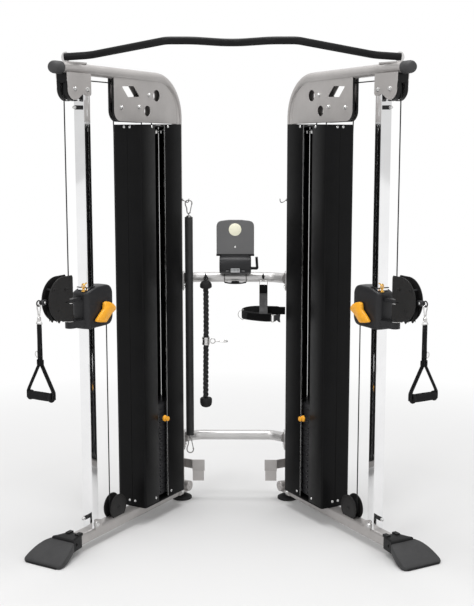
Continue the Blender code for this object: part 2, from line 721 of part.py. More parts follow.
def build_tower(side, name_end, looks):
    """Every node of one tower. side is -1 for the left tower and 1 for the right one."""
    mirror = side > 0
    tower = bpy.data.objects.new(f"tower_{name_end}", None)
    bpy.context.scene.collection.objects.link(tower)
    tower.location = (side * TOWER_X, -MID_DEPTH, 0)
    tower.rotation_euler = (0, 0, side * TOWER_TURN)

    def add(name, look, shells, pivot=(0, 0, 0), **jobs):
        return node(f"{name}_{name_end}", looks[look], shells, pivot, tower, mirror, **jobs)

    beam_shells, beam_slot = base_beam()
    column_shells, column_cuts = column()
    housing_shells, plan = carriage_housing()
    arm_shells, arm_slot = swivel_arm()
    stack_shells, stack_cuts = weight_stack()
    lifted_shells, lifted_cuts = lifted_plates()
    arm_pivot = (0, PIVOT_S, ARM_Z)

    add("base_beam", "frame", beam_shells, cut=[beam_slot])
    add("front_foot", "rubber", front_foot())
    add("rear_foot", "rubber", rear_foot())
    add("frame_tube", "frame", frame_tube(), cut=rear_bracket_holes())
    add("tube_end_grip", "rubber", tube_end_grip())
    add("column", "chrome", column_shells, cut=column_cuts)
    add("carriage_housing", "housing", housing_shells, (0, COLUMN_S, HOUSING_LOW),
        trim=[prism(plan, HOUSING_LOW - 0.01, HOUSING_TOP + 0.01)], cut=[column_bore()])
    add("release_lever", "amber", release_lever(), LEVER_PIVOT)
    add("swivel_arm", "housing", arm_shells, arm_pivot, cut=[arm_slot])
    add("swivel_pulley", "wheel", [pulley(SWIVEL_PULLEY)], (0, *SWIVEL_PULLEY))
    add("front_top_pulley", "wheel", [pulley(FRONT_PULLEY)], (0, *FRONT_PULLEY))
    add("rear_top_pulley", "wheel", [pulley(REAR_PULLEY)], (0, *REAR_PULLEY))
    add("bottom_pulley", "wheel", [pulley(BOTTOM_PULLEY)], (0, *BOTTOM_PULLEY))
    add("weight_stack", "steel", stack_shells, cut=stack_cuts)
    add("lifted_plates", "steel", lifted_shells, (0, STACK_S, stack_top()), cut=lifted_cuts)
    add("selector_pin", "amber", selector_pin(), pin_place())
    add("guide_rods", "chrome", guide_rods())
    add("shroud_outer_shell", "shroud", shroud_outer_shell())
    add("shroud_inner_shell", "shroud", shroud_inner_shell())
    add("cable_front_run", "cable", cable_front_run(), (0, PIVOT_S, FRONT_PULLEY[1]))
    add("cable_rear_run", "cable", cable_rear_run(), (0, RISER_S, BOTTOM_PULLEY[1]))
    add("cable_end", "housing", cable_end(), (0, RING_S, ARM_Z))
    add("handle_carabiner", "chrome", handle_carabiner(), (0, RING_S, ARM_Z))
    add("handle", "webbing", handle(), (0, HANDLE_S, 1.0970))


# Pieces that the two towers share


def mirrored(half_path):
    """A path from one side to the middle, carried on to the other side."""
    return half_path + [(-x, y, z) for x, y, z in reversed(half_path[:-1])]


def pull_up_bar(looks):
    """Bent bar over both top tubes, with a saddle on each."""
    half = [(-0.728, -0.049, 2.230), (-0.614, -0.058, 2.237), (-0.272, -0.263, 2.285),
            (-0.163, -0.263, 2.285), (0, -0.117, 2.2838)]
    corners = mirrored([(x, y - MID_DEPTH, z) for x, y, z in half])
    radii = [0.12, 0.07, 0.09, 0.09, 0.09, 0.07, 0.12]
    shells = [sweep(bend(corners, radii, 3), BAR_R, 10)]
    for side in (-1, 1):
        shells.append(turned([(0, 0), (0.028, 0), (0.030, 0.002), (0.028, 0.004), (0, 0.004)],
                             (side * 0.7275, -0.049 - MID_DEPTH, 2.230), (side, 0, 0), 16))
        turn = Matrix.Rotation(side * TOWER_TURN, 3, "Z")
        points, faces = box((-0.020, 0.020), (-0.108, -0.030), (2.2085, 2.2200))
        middle = Vector((side * TOWER_X, -MID_DEPTH, 0))
        shells.append(([tuple(turn @ Vector(p) + middle) for p in points], faces))
    node("pull_up_bar", looks["frame"], shells)


def cross_tube(name, z, looks, pegs):
    """Rear tube between the uprights, with an upright bolting plate at each end."""
    inner = CROSS_END_X - 0.007
    shells = [rod((-inner, CROSS_Y, z), (inner, CROSS_Y, z), TUBE_R)]
    bore = rod((-CROSS_END_X - 0.01, CROSS_Y, z), (CROSS_END_X + 0.01, CROSS_Y, z), TUBE_R - TUBE_WALL)
    for side in (-1, 1):
        low, high = sorted((side * (CROSS_END_X - 0.008), side * CROSS_END_X))
        shells.append(box((low, high), (CROSS_Y - 0.052, CROSS_Y + 0.026), (z - 0.055, z + 0.038)))
    for x in pegs:
        peg = [(x, CROSS_Y - TUBE_R + 0.0015, z), (x, HANG_Y - 0.012, z), (x, HANG_Y - 0.020, z + 0.014)]
        shells.append(sweep(bend(peg, [0.006], 3), PEG_R, 6))
    node(name, looks["frame"], shells, cut=[bore])


def placard_holder(looks):
    """Clamp round the upper tube, a drum in front of it and a small side hook."""
    clamp = turned([(TUBE_R + GAP + 0.0006, -0.057), (0.0385, -0.057), (0.0385, 0.057),
                    (TUBE_R + GAP + 0.0006, 0.057)], (0, CROSS_Y, UPPER_CROSS_Z), (1, 0, 0))
    drum = turned([(0, -0.078), (DRUM_R - 0.004, -0.078), (DRUM_R, -0.074), (DRUM_R, 0.074),
                   (DRUM_R - 0.004, 0.078), (0, 0.078)], (0, HOLDER_Y, DRUM_Z), (1, 0, 0))
    seat = box((-0.050, 0.050), (HOLDER_Y - 0.012, HOLDER_Y + 0.012), (DRUM_Z + 0.03, DRUM_Z + DRUM_R))
    arm = box((0.070, 0.119), (HOLDER_Y - 0.014, HOLDER_Y + 0.014), (1.211, 1.220))
    tip = box((0.112, 0.119), (HOLDER_Y - 0.014, HOLDER_Y + 0.014), (1.212, 1.276))
    window = box((-0.0225, 0.0225), (HOLDER_Y - 0.060, HOLDER_Y - 0.036), (1.194, 1.2145))
    node("placard_holder", looks["housing"], [drum, clamp, seat, arm, tip], cut=[window])


def placard_panel(looks):
    """Upright board with a crowned top, a raised round disc and a small dot."""
    low, shoulder, crown, half = DRUM_Z + DRUM_R + GAP, 1.447, 1.4606, 0.0945
    rise = crown - shoulder
    radius = (half * half + rise * rise) / (2 * rise)
    spread = 180 / pi * (half / radius)
    outline = [(-half, low), (half, low), *arc((0, crown - radius), radius, 90 - spread, 90 + spread, 8)]
    board = prism(outline, HOLDER_Y - 0.008, HOLDER_Y + 0.008, "tzs")
    disc_shell = prism(disc((0, 1.411), 0.030, 24), HOLDER_Y - 0.011, HOLDER_Y - 0.006, "tzs")
    dot = prism(disc((0, 1.322), 0.008, 12), HOLDER_Y - 0.011, HOLDER_Y - 0.006, "tzs")
    node("placard_panel", looks["placard"], [board, disc_shell, dot])


def triceps_rope(looks):
    """Rope hung by its upper end on a peg of the upper tube, with a clamp and a snap hook on it."""
    upper_profile = [(0, 0), (0.024, 0), (0.0305, 0.006), (0.0305, 0.030), (0.016, 0.040), (0, 0.040)]
    upper = turned(upper_profile, (ROPE_X, HANG_Y, ROPE_TOP + GAP), (0, 0, 1), 16)
    hung = UPPER_CROSS_Z + PEG_R + 0.0010 + WIRE_R - 0.011
    loop = [(ROPE_X + 0.011 * x, HANG_Y, hung + 0.011 * y) for x, y in disc((0, 0), 1)]
    shank = rod((ROPE_X, HANG_Y, ROPE_TOP + 0.035), (ROPE_X, HANG_Y, hung - 0.010), 0.005, 8)
    node("rope_upper_end", looks["rubber"], [upper, shank, sweep(loop, WIRE_R, 6, closed=True)])
    lower_profile = [(0, 0), (0.026, 0), (0.031, 0.006), (0.031, 0.044), (0.024, 0.050), (0, 0.050)]
    lower = turned(lower_profile, (ROPE_X - 0.0015, HANG_Y, ROPE_LOW - GAP - 0.050), (0, 0, 1), 16)
    node("rope_lower_end", looks["rubber"], [lower])
    hole = ROPE_R + 0.0010
    clamp = turned([(hole, 0), (0.021, 0), (0.021, 0.040), (hole, 0.040)],
                   (ROPE_X - 0.001, HANG_Y, CLAMP_LOW), (0, 0, 1), 16)
    middle = (-0.112, 0.835)
    ring = [(middle[0] + 0.0125 * x, HANG_Y, middle[1] + 0.0125 * z) for x, z in disc((0, 0), 1, 10)]
    bow = [(-0.090 + x, HANG_Y, 0.835 + z) for x, z in arc((0, 0), 0.0105, 90, 270, 4)]
    bow += [(-0.052 + x, HANG_Y, 0.835 + z) for x, z in arc((0, 0), 0.0105, 270, 450, 4)]
    link = box((-0.106, -0.096), (HANG_Y - 0.0045, HANG_Y + 0.0045), (0.8300, 0.8400))
    lug = box((-0.130, -0.122), (HANG_Y - 0.0045, HANG_Y + 0.0045), (0.8305, 0.8395))
    shells = [clamp, lug, sweep(ring, WIRE_R, 6, closed=True), link, sweep(bow, WIRE_R, 6, closed=True)]
    node("rope_snap_hook", looks["chrome"], shells)
    curve = bpy.data.curves.new("triceps_rope", "CURVE")
    curve.dimensions = "3D"
    curve.bevel_depth = ROPE_R
    curve.bevel_resolution = 2
    curve.use_fill_caps = True
    line = curve.splines.new("POLY")
    count = 12
    line.points.add(count - 1)
    for i, point in enumerate(line.points):
        share = i / (count - 1)
        drop = ROPE_TOP + (ROPE_LOW - ROPE_TOP) * share
        point.co = (ROPE_X - 0.0015 * share, HANG_Y, drop, 1)
    rope = bpy.data.objects.new("triceps_rope", curve)
    curve.materials.append(looks["webbing"])
    bpy.context.scene.collection.objects.link(rope)


def ankle_cuff(looks):
    """Padded cuff with a D-ring, hung by its strap on a peg of the upper tube."""
    y = HANG_Y
    low, high = 0.935, 1.023
    pad = loft([
        [(x, y + a * 0.022, (low + high) / 2 + b * (high - low) / 2) for a, b in
         ((-0.6, -1), (0.6, -1), (1, -0.8), (1, 0.8), (0.6, 1), (-0.6, 1), (-1, 0.8), (-1, -0.8))]
        for x in (0.0376, 0.2585)
    ])
    strap = box((0.127, 0.165), (y - 0.003, y + 0.003), (1.000, 1.140))
    holder = box((0.130, 0.162), (y - 0.0036, y + 0.0036), (1.130, UPPER_CROSS_Z + 0.016))
    eye_r = 0.0085
    eye = prism(disc((CUFF_X, UPPER_CROSS_Z + PEG_R + 0.0020 - eye_r), eye_r), y - 0.02, y + 0.02, "tzs")
    ring = [(0.027 + 0.014 * a, y, 0.9765 + 0.018 * b) for a, b in disc((0, 0), 1, 12)]
    shells = [pad, strap, holder, sweep(ring, WIRE_R, 6, closed=True)]
    node("ankle_cuff", looks["webbing"], shells, (CUFF_X, HANG_Y, UPPER_CROSS_Z), cut=[eye])


def long_bar(looks):
    """Steel bar in a dark sleeve, with an eye and a snap hook at each end."""
    y = HANG_Y
    sleeve = turned([(0.0145, 0), (0.0203, 0), (0.0203, SLEEVE_TOP - SLEEVE_LOW),
                     (0.0145, SLEEVE_TOP - SLEEVE_LOW)], (BAR_X, y, SLEEVE_LOW), (0, 0, 1), 16)
    hung_from = (BAR_X, HANG_Y, HOOK_Z)
    node("long_bar_sleeve", looks["rubber"], [sleeve], hung_from)
    core = rod((BAR_X, y, SLEEVE_LOW - 0.006), (BAR_X, y, SLEEVE_TOP + 0.006), 0.0140)
    shells = [core]
    for end, way in ((SLEEVE_TOP + 0.006, 1), (SLEEVE_LOW - 0.006, -1)):
        loop = [(BAR_X, y + a, end + way * (0.014 + b)) for a, b in arc((0, 0), 0.011, 180, 360, 5)]
        loop += [(BAR_X, y + a, end + way * (0.060 + b)) for a, b in arc((0, 0), 0.011, 0, 180, 5)]
        shells.append(sweep(loop, WIRE_R, 6, closed=True))
        shells.append(rod((BAR_X, y, end), (BAR_X, y, end + way * 0.008), 0.006, 8))
    node("long_bar_core", looks["chrome"], shells, hung_from)


def main():
    clear_scene()
    looks = {
        "frame": paint("frame_paint", (0.36, 0.34, 0.32), 0.6, 0.35),
        "chrome": paint("chrome", (0.80, 0.80, 0.80), 1.0, 0.12),
        "steel": paint("plate_paint", (0.06, 0.06, 0.065), 0.5, 0.5),
        "rubber": paint("rubber", (0.045, 0.045, 0.047), 0.0, 0.75),
        "housing": paint("housing_plastic", (0.030, 0.030, 0.032), 0.0, 0.5),
        "shroud": paint("shroud_paint", (0.012, 0.012, 0.012), 0.0, 0.45),
        "wheel": paint("pulley_plastic", (0.015, 0.015, 0.016), 0.0, 0.4),
        "amber": paint("amber_plastic", (0.97, 0.47, 0.03), 0.0, 0.4),
        "cable": paint("cable_sheath", (0.02, 0.02, 0.02), 0.0, 0.4),
        "webbing": paint("webbing", (0.012, 0.012, 0.012), 0.0, 0.9),
        "placard": paint("placard_paint", (0.14, 0.14, 0.14), 0.0, 0.5),
    }
    build_tower(-1, "left", looks)
    build_tower(1, "right", looks)
    pull_up_bar(looks)
    cross_tube("upper_cross_tube", UPPER_CROSS_Z, looks, (ROPE_X, CUFF_X))
    cross_tube("lower_cross_tube", LOWER_CROSS_Z, looks, ())
    placard_holder(looks)
    placard_panel(looks)
    triceps_rope(looks)
    ankle_cuff(looks)
    long_bar(looks)


main()
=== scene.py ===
from math import acos, cos, degrees, pi, radians, sin, sqrt, tan

import bmesh
import bpy
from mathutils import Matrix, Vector


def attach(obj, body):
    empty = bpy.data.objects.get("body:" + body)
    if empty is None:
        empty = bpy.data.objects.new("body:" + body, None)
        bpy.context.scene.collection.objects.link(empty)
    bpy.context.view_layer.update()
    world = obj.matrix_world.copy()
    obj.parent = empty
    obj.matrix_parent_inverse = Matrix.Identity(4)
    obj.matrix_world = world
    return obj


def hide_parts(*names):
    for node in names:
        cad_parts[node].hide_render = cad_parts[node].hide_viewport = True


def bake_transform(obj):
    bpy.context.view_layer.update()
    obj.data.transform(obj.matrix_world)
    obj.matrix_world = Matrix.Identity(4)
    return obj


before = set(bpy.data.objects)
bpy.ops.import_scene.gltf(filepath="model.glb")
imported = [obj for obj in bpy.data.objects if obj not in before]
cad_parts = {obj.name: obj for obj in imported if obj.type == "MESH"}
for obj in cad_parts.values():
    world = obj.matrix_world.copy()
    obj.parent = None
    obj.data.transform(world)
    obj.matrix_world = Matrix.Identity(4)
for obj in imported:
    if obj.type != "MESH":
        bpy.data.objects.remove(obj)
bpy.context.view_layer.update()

scene = bpy.context.scene
scene.view_settings.view_transform = "Standard"

# The two towers stand at TOWER_X, turned TOWER_TURN about Z. A tower's own axes are t (inboard),
# s (to the rear) and z. The right tower is the left one mirrored.
TOWER_X = 0.6584
TOWER_TURN = radians(30)
MID = 0.1913
SIDES = (("left", -1), ("right", 1))
ACROSS, BACK, UP = (1, 0, 0), (0, 1, 0), (0, 0, 1)


# ---------------------------------------------------------------- camera
def make_camera():
    data = bpy.data.cameras.new("camera")
    data.lens = 67.49
    data.sensor_width = 36
    data.clip_end = 100
    camera = bpy.data.objects.new("camera", data)
    scene.collection.objects.link(camera)
    pitch, yaw = radians(9.2), radians(0.614)
    ahead = Vector((-sin(yaw) * cos(pitch), cos(yaw) * cos(pitch), -sin(pitch)))
    camera.location = (0.0736, -5.2593, 1.9647)
    camera.rotation_mode = "QUATERNION"
    camera.rotation_quaternion = ahead.to_track_quat("-Z", "Y")
    scene.camera = camera


make_camera()


# ---------------------------------------------------------------- shells: (points, faces, uvs or None)
def skin(count, rings, closed=False):
    """Quads between rings of count points each."""
    faces = []
    for i in range(rings if closed else rings - 1):
        a, b = i * count, (i + 1) % rings * count
        faces += [(a + k, a + (k + 1) % count, b + (k + 1) % count, b + k) for k in range(count)]
    return faces


def ends(count, rings):
    """The two caps of a run of rings."""
    return [tuple(range(count)), tuple(range((rings - 1) * count, rings * count))]


def turns(steps):
    return [2 * pi * k / steps for k in range(steps)]


def square_to(axis):
    """An axis made a unit long, and two directions square to it."""
    axis = Vector(axis).normalized()
    normal = axis.orthogonal().normalized()
    return axis, normal, axis.cross(normal)


def prism(outline, low, high, axes="tsz"):
    """An outline of (a, b) points pushed from low to high. axes names a, b and the push."""
    order = ["tsz".index(letter) for letter in axes]
    count = len(outline)
    points = []
    for level in (low, high):
        for a, b in outline:
            place = [0.0, 0.0, 0.0]
            place[order[0]], place[order[1]], place[order[2]] = a, b, level
            points.append(tuple(place))
    return points, ends(count, 2) + skin(count, 2), None


def box(t, s, z):
    return prism([(t[0], s[0]), (t[1], s[0]), (t[1], s[1]), (t[0], s[1])], z[0], z[1])


def arc(centre, radius, start, end, steps):
    angles = [radians(start + (end - start) * i / steps) for i in range(steps + 1)]
    return [(centre[0] + radius * cos(a), centre[1] + radius * sin(a)) for a in angles]


def disc(centre, radius, sides=32):
    return arc(centre, radius, 0, 360, sides)[:-1]


def soften(corners, radius, steps=5):
    """A 2D outline with each corner rounded."""
    out = []
    count = len(corners)
    for i, corner in enumerate(corners):
        here = Vector(corner)
        back = Vector(corners[i - 1]) - here
        ahead = Vector(corners[(i + 1) % count]) - here
        half = back.angle(ahead) / 2
        reach = min(radius / tan(half), 0.45 * back.length, 0.45 * ahead.length)
        start, end = here + back.normalized() * reach, here + ahead.normalized() * reach
        for k in range(steps + 1):
            u = k / steps
            spot = start * (1 - u) ** 2 + here * 2 * u * (1 - u) + end * u * u
            out.append(tuple(spot))
    return out


def rounded(a, b, radius, steps=5):
    """A rectangle from two (low, high) pairs, with its four corners rounded."""
    corners = ((a[1], b[1], 0), (a[0], b[1], 90), (a[0], b[0], 180), (a[1], b[0], 270))
    outline = []
    for x, y, turn in corners:
        middle_x = x - radius if turn in (0, 270) else x + radius
        middle_y = y - radius if turn in (0, 90) else y + radius
        outline += arc((middle_x, middle_y), radius, turn, turn + 90, steps)
    return outline


def strip(path, thick):
    """The closed outline of a sheet that follows an open 2D path, on its left."""
    left = []
    for i, here in enumerate(path):
        back = path[max(i - 1, 0)]
        ahead = path[min(i + 1, len(path) - 1)]
        first = Vector((here[0] - back[0], here[1] - back[1]))
        second = Vector((ahead[0] - here[0], ahead[1] - here[1]))
        first = first.normalized() if first.length else second.normalized()
        second = second.normalized() if second.length else first
        across = Vector((-first.y - second.y, first.x + second.x)).normalized()
        reach = thick / max(0.2, across.dot(Vector((-first.y, first.x))))
        left.append((here[0] + across.x * reach, here[1] + across.y * reach))
    return list(path) + left[::-1]


def sheet_quads(path, thick, low, high):
    """A sheet along an open 2D path, pushed from low to high along z, made of quads."""
    outline = strip(path, thick)
    count, total = len(path), len(outline)
    points = [(x, y, low) for x, y in outline] + [(x, y, high) for x, y in outline]
    faces = skin(total, 2)
    for base in (0, total):
        for i in range(count - 1):
            faces.append((base + i, base + i + 1, base + total - 2 - i, base + total - 1 - i))
    return points, faces, None


def bend(corners, radii, steps=14):
    """A 3D path through corners, each inner corner turned on its own radius."""
    corners = [Vector(c) for c in corners]
    path = [corners[0]]
    for i in range(1, len(corners) - 1):
        back = (corners[i - 1] - corners[i]).normalized()
        ahead = (corners[i + 1] - corners[i]).normalized()
        half = back.angle(ahead) / 2
        if half > radians(89.99):
            path.append(corners[i])
            continue
        reach = radii[i - 1] / tan(half)
        centre = corners[i] + (back + ahead).normalized() * radii[i - 1] / sin(half)
        start = corners[i] + back * reach - centre
        end = corners[i] + ahead * reach - centre
        whole = start.angle(end)
        for k in range(steps + 1):
            share = k / steps
            spoke = start * sin((1 - share) * whole) + end * sin(share * whole)
            path.append(centre + spoke / sin(whole))
    path.append(corners[-1])
    return path


def frames(path, closed=False):
    """(place, side, up) along a path, turned as little as may be."""
    path = [Vector(p) for p in path]
    count = len(path)
    normal, out = None, []
    for i, here in enumerate(path):
        back = path[i - 1] if (i or closed) else here
        ahead = path[(i + 1) % count] if (i < count - 1 or closed) else here
        along = ((here - back).normalized() + (ahead - here).normalized()).normalized()
        if normal is None:
            normal = along.orthogonal().normalized()
        normal = (normal - along * normal.dot(along)).normalized()
        out.append((here, normal, along.cross(normal)))
    return out


def sweep(path, radius, sides=24, closed=False, taper=None):
    """A round tube along a path. taper gives each point's share of the radius."""
    points, uvs = [], []
    spots = frames(path, closed)
    run = 0.0
    for i, (here, normal, side) in enumerate(spots):
        run += (here - spots[i - 1][0]).length if i else 0.0
        r = radius * (taper[i] if taper else 1)
        for a in turns(sides):
            points.append(tuple(here + normal * cos(a) * r + side * sin(a) * r))
            uvs.append((a * radius, run))
    count = len(spots)
    return points, skin(sides, count, closed) + ([] if closed else ends(sides, count)), uvs


def rod(start, end, radius, sides=24):
    return sweep([start, end], radius, sides)


def turned(profile, start, axis, sides=40):
    """A profile of (radius, height) points turned about an axis from start."""
    axis, normal, side = square_to(axis)
    solid = profile[0][0] == 0
    inner = profile[1:-1] if solid else profile
    points = []
    for a in turns(sides):
        spoke = normal * cos(a) + side * sin(a)
        points += [tuple(Vector(start) + axis * h + spoke * r) for r, h in inner]
    count = len(inner)
    faces = []
    for k in range(sides):
        a, b = k * count, ((k + 1) % sides) * count
        for i in range(count - 1 if solid else count):
            j = (i + 1) % count
            faces.append((a + i, a + j, b + j, b + i))
    if solid:
        points.append(tuple(Vector(start) + axis * profile[0][1]))
        points.append(tuple(Vector(start) + axis * profile[-1][1]))
        first, last = len(points) - 2, len(points) - 1
        for k in range(sides):
            a, b = k * count, ((k + 1) % sides) * count
            faces += [(first, a, b), (last, a + count - 1, b + count - 1)]
    return points, faces, None


def spun(edge, start, axis, sides=40):
    """A turned solid whose two ends are flat: edge leaves out the points on the axis."""
    return turned([(0, edge[0][1]), *edge, (0, edge[-1][1])], start, axis, sides)


def mirrored(half):
    """A profile of (radius, height) points and then the same points at the opposite heights."""
    return half + [(r, -h) for r, h in reversed(half)]


def loft(sections):
    count, rings = len(sections[0]), len(sections)
    points = [tuple(p) for section in sections for p in section]
    return points, ends(count, rings) + skin(count, rings), None


def ribbon(path, wide, thick, across):
    """Flat webbing along a 3D path: across is the way its width points. Its UVs are metres."""
    path = [Vector(p) for p in path]
    points, uvs, run = [], [], 0.0
    ring = [(wide * (k / 4 - 0.5), thick / 2) for k in range(5)]
    ring += [(wide * (0.5 - k / 4), -thick / 2) for k in range(5)]
    for i, here in enumerate(path):
        back, ahead = path[max(i - 1, 0)], path[min(i + 1, len(path) - 1)]
        run += (here - back).length
        along = (ahead - back).normalized()
        side = Vector(across) - along * along.dot(Vector(across))
        side.normalize()
        up = along.cross(side)
        for a, b in ring:
            edge = 0.6 if abs(a) > wide * 0.49 else 1.0
            points.append(tuple(here + side * a + up * b * edge))
            uvs.append((a, run))
    return points, ends(len(ring), len(path)) + skin(len(ring), len(path)), uvs


def smooth_path(points, steps=8):
    """A Catmull-Rom curve through 3D points."""
    p = [Vector(x) for x in points]
    p = [p[0] * 2 - p[1], *p, p[-1] * 2 - p[-2]]
    out = []
    for i in range(1, len(p) - 2):
        for k in range(steps):
            u = k / steps
            a, b, c, d = p[i - 1], p[i], p[i + 1], p[i + 2]
            out.append(0.5 * ((2 * b) + (c - a) * u + (2 * a - 5 * b + 4 * c - d) * u * u
                + (3 * b - a - 3 * c + d) * u ** 3))
    out.append(p[-2])
    return out


def hex_head(place, axis, across=0.0165, high=0.007):
    """A domed hexagon bolt head on a washer."""
    place, (axis, normal, side) = Vector(place), square_to(axis)
    washer = spun([(across * 0.66, 0), (across * 0.7, 0.0006), (across * 0.68, 0.0014)], place, axis, 28)
    sections = []
    for r, h in ((0.575, 0.0014), (0.577, high * 0.75), (0.5, high), (0.3, high * 1.08)):
        ring = []
        for k in range(12):
            a = pi * k / 6
            far = across * r * (1 if k % 2 == 0 else 0.9)
            ring.append(place + axis * h + normal * cos(a) * far + side * sin(a) * far)
        sections.append(ring)
    return [washer, loft(sections)]


def button_head(place, axis, r=0.0065, high=0.0035):
    """A domed button screw with a hexagon socket."""
    place, (axis, normal, side) = Vector(place), square_to(axis)
    sections = []
    for far, h in ((1.0, 0), (1.0, high * 0.25), (0.88, high * 0.65), (0.66, high * 0.93), (0.42, high),
            (0.4, high * 0.45)):
        ring = []
        for a in turns(18):
            shape = 1.0 if far > 0.5 else 0.93 + 0.07 * cos(6 * a)
            ring.append(place + axis * h + (normal * cos(a) + side * sin(a)) * far * shape * r)
        sections.append(ring)
    return [loft(sections)]


# ---------------------------------------------------------------- objects
def to_world(point, side):
    t, s, z = point
    x = -TOWER_X + cos(TOWER_TURN) * t + sin(TOWER_TURN) * s
    y = -MID - sin(TOWER_TURN) * t + cos(TOWER_TURN) * s
    return Vector((x if side < 0 else -x, y, z))


def raw_object(name, shells, side=None):
    mesh = bpy.data.meshes.new(name)
    build = bmesh.new()
    layer = build.loops.layers.uv.new("UVMap") if any(s[2] for s in shells) else None
    for points, faces, uvs in shells:
        corners = [build.verts.new(to_world(p, side) if side else Vector(p)) for p in points]
        for face in faces:
            made = build.faces.new([corners[i] for i in face])
            if layer and uvs:
                for loop, i in zip(made.loops, face):
                    loop[layer].uv = uvs[i]
    bmesh.ops.recalc_face_normals(build, faces=build.faces)
    build.to_mesh(mesh)
    build.free()
    thing = bpy.data.objects.new(name, mesh)
    scene.collection.objects.link(thing)
    return thing


def bake(thing):
    """Replaces an object's mesh with its evaluated one and clears its modifiers."""
    graph = bpy.context.evaluated_depsgraph_get()
    mesh = bpy.data.meshes.new_from_object(thing.evaluated_get(graph))
    thing.modifiers.clear()
    thing.data = mesh
    return thing


def piece(name, shells, look, body="frame", side=None, bevel=0.0, smooth=38, slot=None, cut=(),
        stands_for=None, ride=True, segments=2):
    """One finished piece: its shells, with cut taken away, edges bevelled, riding on body."""
    thing = raw_object(name, shells, side)
    if cut:
        cutter = raw_object("cutter", list(cut), side)
        job = thing.modifiers.new("cut", "BOOLEAN")
        job.operation = "DIFFERENCE"
        job.solver = "EXACT"
        job.use_self = True
        job.object = cutter
        bake(thing)
        bpy.data.objects.remove(cutter)
    thing.data.materials.clear()
    thing.data.materials.append(M[look])
    thing.data.shade_smooth()
    thing.data.set_sharp_from_angle(angle=radians(smooth))
    if bevel:
        step = thing.modifiers.new("bevel", "BEVEL")
        step.width = bevel
        step.segments = segments
        step.limit_method = "ANGLE"
        step.angle_limit = radians(smooth)
        step.harden_normals = True
    if stands_for:
        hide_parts(stands_for)
    if ride:
        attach(thing, body)
    return thing


# ---------------------------------------------------------------- materials
class Nodes:
    """A small builder for one material's node tree."""

    def __init__(self, name):
        self.material = bpy.data.materials.new(name)
        self.material.use_nodes = True
        self.tree = self.material.node_tree
        self.shader = self.tree.nodes["Principled BSDF"]
        self.coords = self.add("ShaderNodeTexCoord")

    def add(self, kind, **values):
        made = self.tree.nodes.new(kind)
        for key, value in values.items():
            if hasattr(made, key):
                setattr(made, key, value)
            else:
                made.inputs[key.replace("_", " ")].default_value = value
        return made

    def link(self, out, into):
        self.tree.links.new(out, into)

    def spot(self, stretch=(1, 1, 1), kind="Object"):
        made = self.add("ShaderNodeMapping")
        made.inputs["Scale"].default_value = stretch
        self.link(self.coords.outputs[kind], made.inputs["Vector"])
        return made.outputs[0]

    def noise(self, scale, detail=3.0, rough=0.55, stretch=(1, 1, 1)):
        made = self.add("ShaderNodeTexNoise")
        made.inputs["Scale"].default_value = scale
        made.inputs["Detail"].default_value = detail
        made.inputs["Roughness"].default_value = rough
        self.link(self.spot(stretch), made.inputs["Vector"])
        return made.outputs["Fac"]

    def ramp(self, source, low, high, a, b):
        made = self.add("ShaderNodeMapRange")
        for key, value in (("From Min", low), ("From Max", high), ("To Min", a), ("To Max", b)):
            made.inputs[key].default_value = value
        self.link(source, made.inputs["Value"])
        return made.outputs[0]

    def mix(self, factor, a, b):
        made = self.add("ShaderNodeMix", data_type="RGBA")
        self.link(factor, made.inputs["Factor"])
        for value, socket in ((a, made.inputs["A"]), (b, made.inputs["B"])):
            if isinstance(value, tuple):
                socket.default_value = (*value, 1)
            else:
                self.link(value, socket)
        return made.outputs["Result"]

    def maths(self, job, a, b=None):
        made = self.add("ShaderNodeMath", operation=job)
        for value, socket in ((a, made.inputs[0]), (b, made.inputs[1])):
            if value is None:
                continue
            if isinstance(value, (int, float)):
                socket.default_value = value
            else:
                self.link(value, socket)
        return made.outputs[0]

    def bump(self, height, depth, strength=1.0, under=None):
        made = self.add("ShaderNodeBump")
        made.inputs["Strength"].default_value = strength
        made.inputs["Distance"].default_value = depth
        self.link(height, made.inputs["Height"])
        if under:
            self.link(under, made.inputs["Normal"])
        return made.outputs[0]


def finish_material(n, colour=None, rough=None, normal=None, **fixed):
    for key, value in fixed.items():
        n.shader.inputs[key.replace("_", " ")].default_value = value
    if colour:
        n.link(colour, n.shader.inputs["Base Color"])
    if rough:
        n.link(rough, n.shader.inputs["Roughness"])
    if normal:
        n.link(normal, n.shader.inputs["Normal"])
    return n.material


def tint(colour, share):
    return tuple(min(1.0, c * share) for c in colour)


def painted(name, colour, rough, metal, specular, grain=900, depth=0.00008, spread=0.06, coat=0.0):
    """Powder coat: fine orange peel, faint clouds of colour and a little uneven gloss."""
    n = Nodes(name)
    cloud = n.noise(9, 4)
    fleck = n.noise(2600, 1)
    base = n.mix(n.ramp(cloud, 0.3, 0.7, 0, 1), tint(colour, 1 - spread), tint(colour, 1 + spread))
    base = n.mix(n.ramp(fleck, 0.6, 0.72, 0, 0.35), base, tint(colour, 1.35))
    gloss = n.ramp(n.noise(38, 5), 0.25, 0.75, rough - 0.05, rough + 0.06)
    peel = n.bump(n.noise(grain, 2), depth, 0.55)
    return finish_material(n, base, gloss, peel, Metallic=metal, Specular_IOR_Level=specular,
        Coat_Weight=coat, Coat_Roughness=0.18)


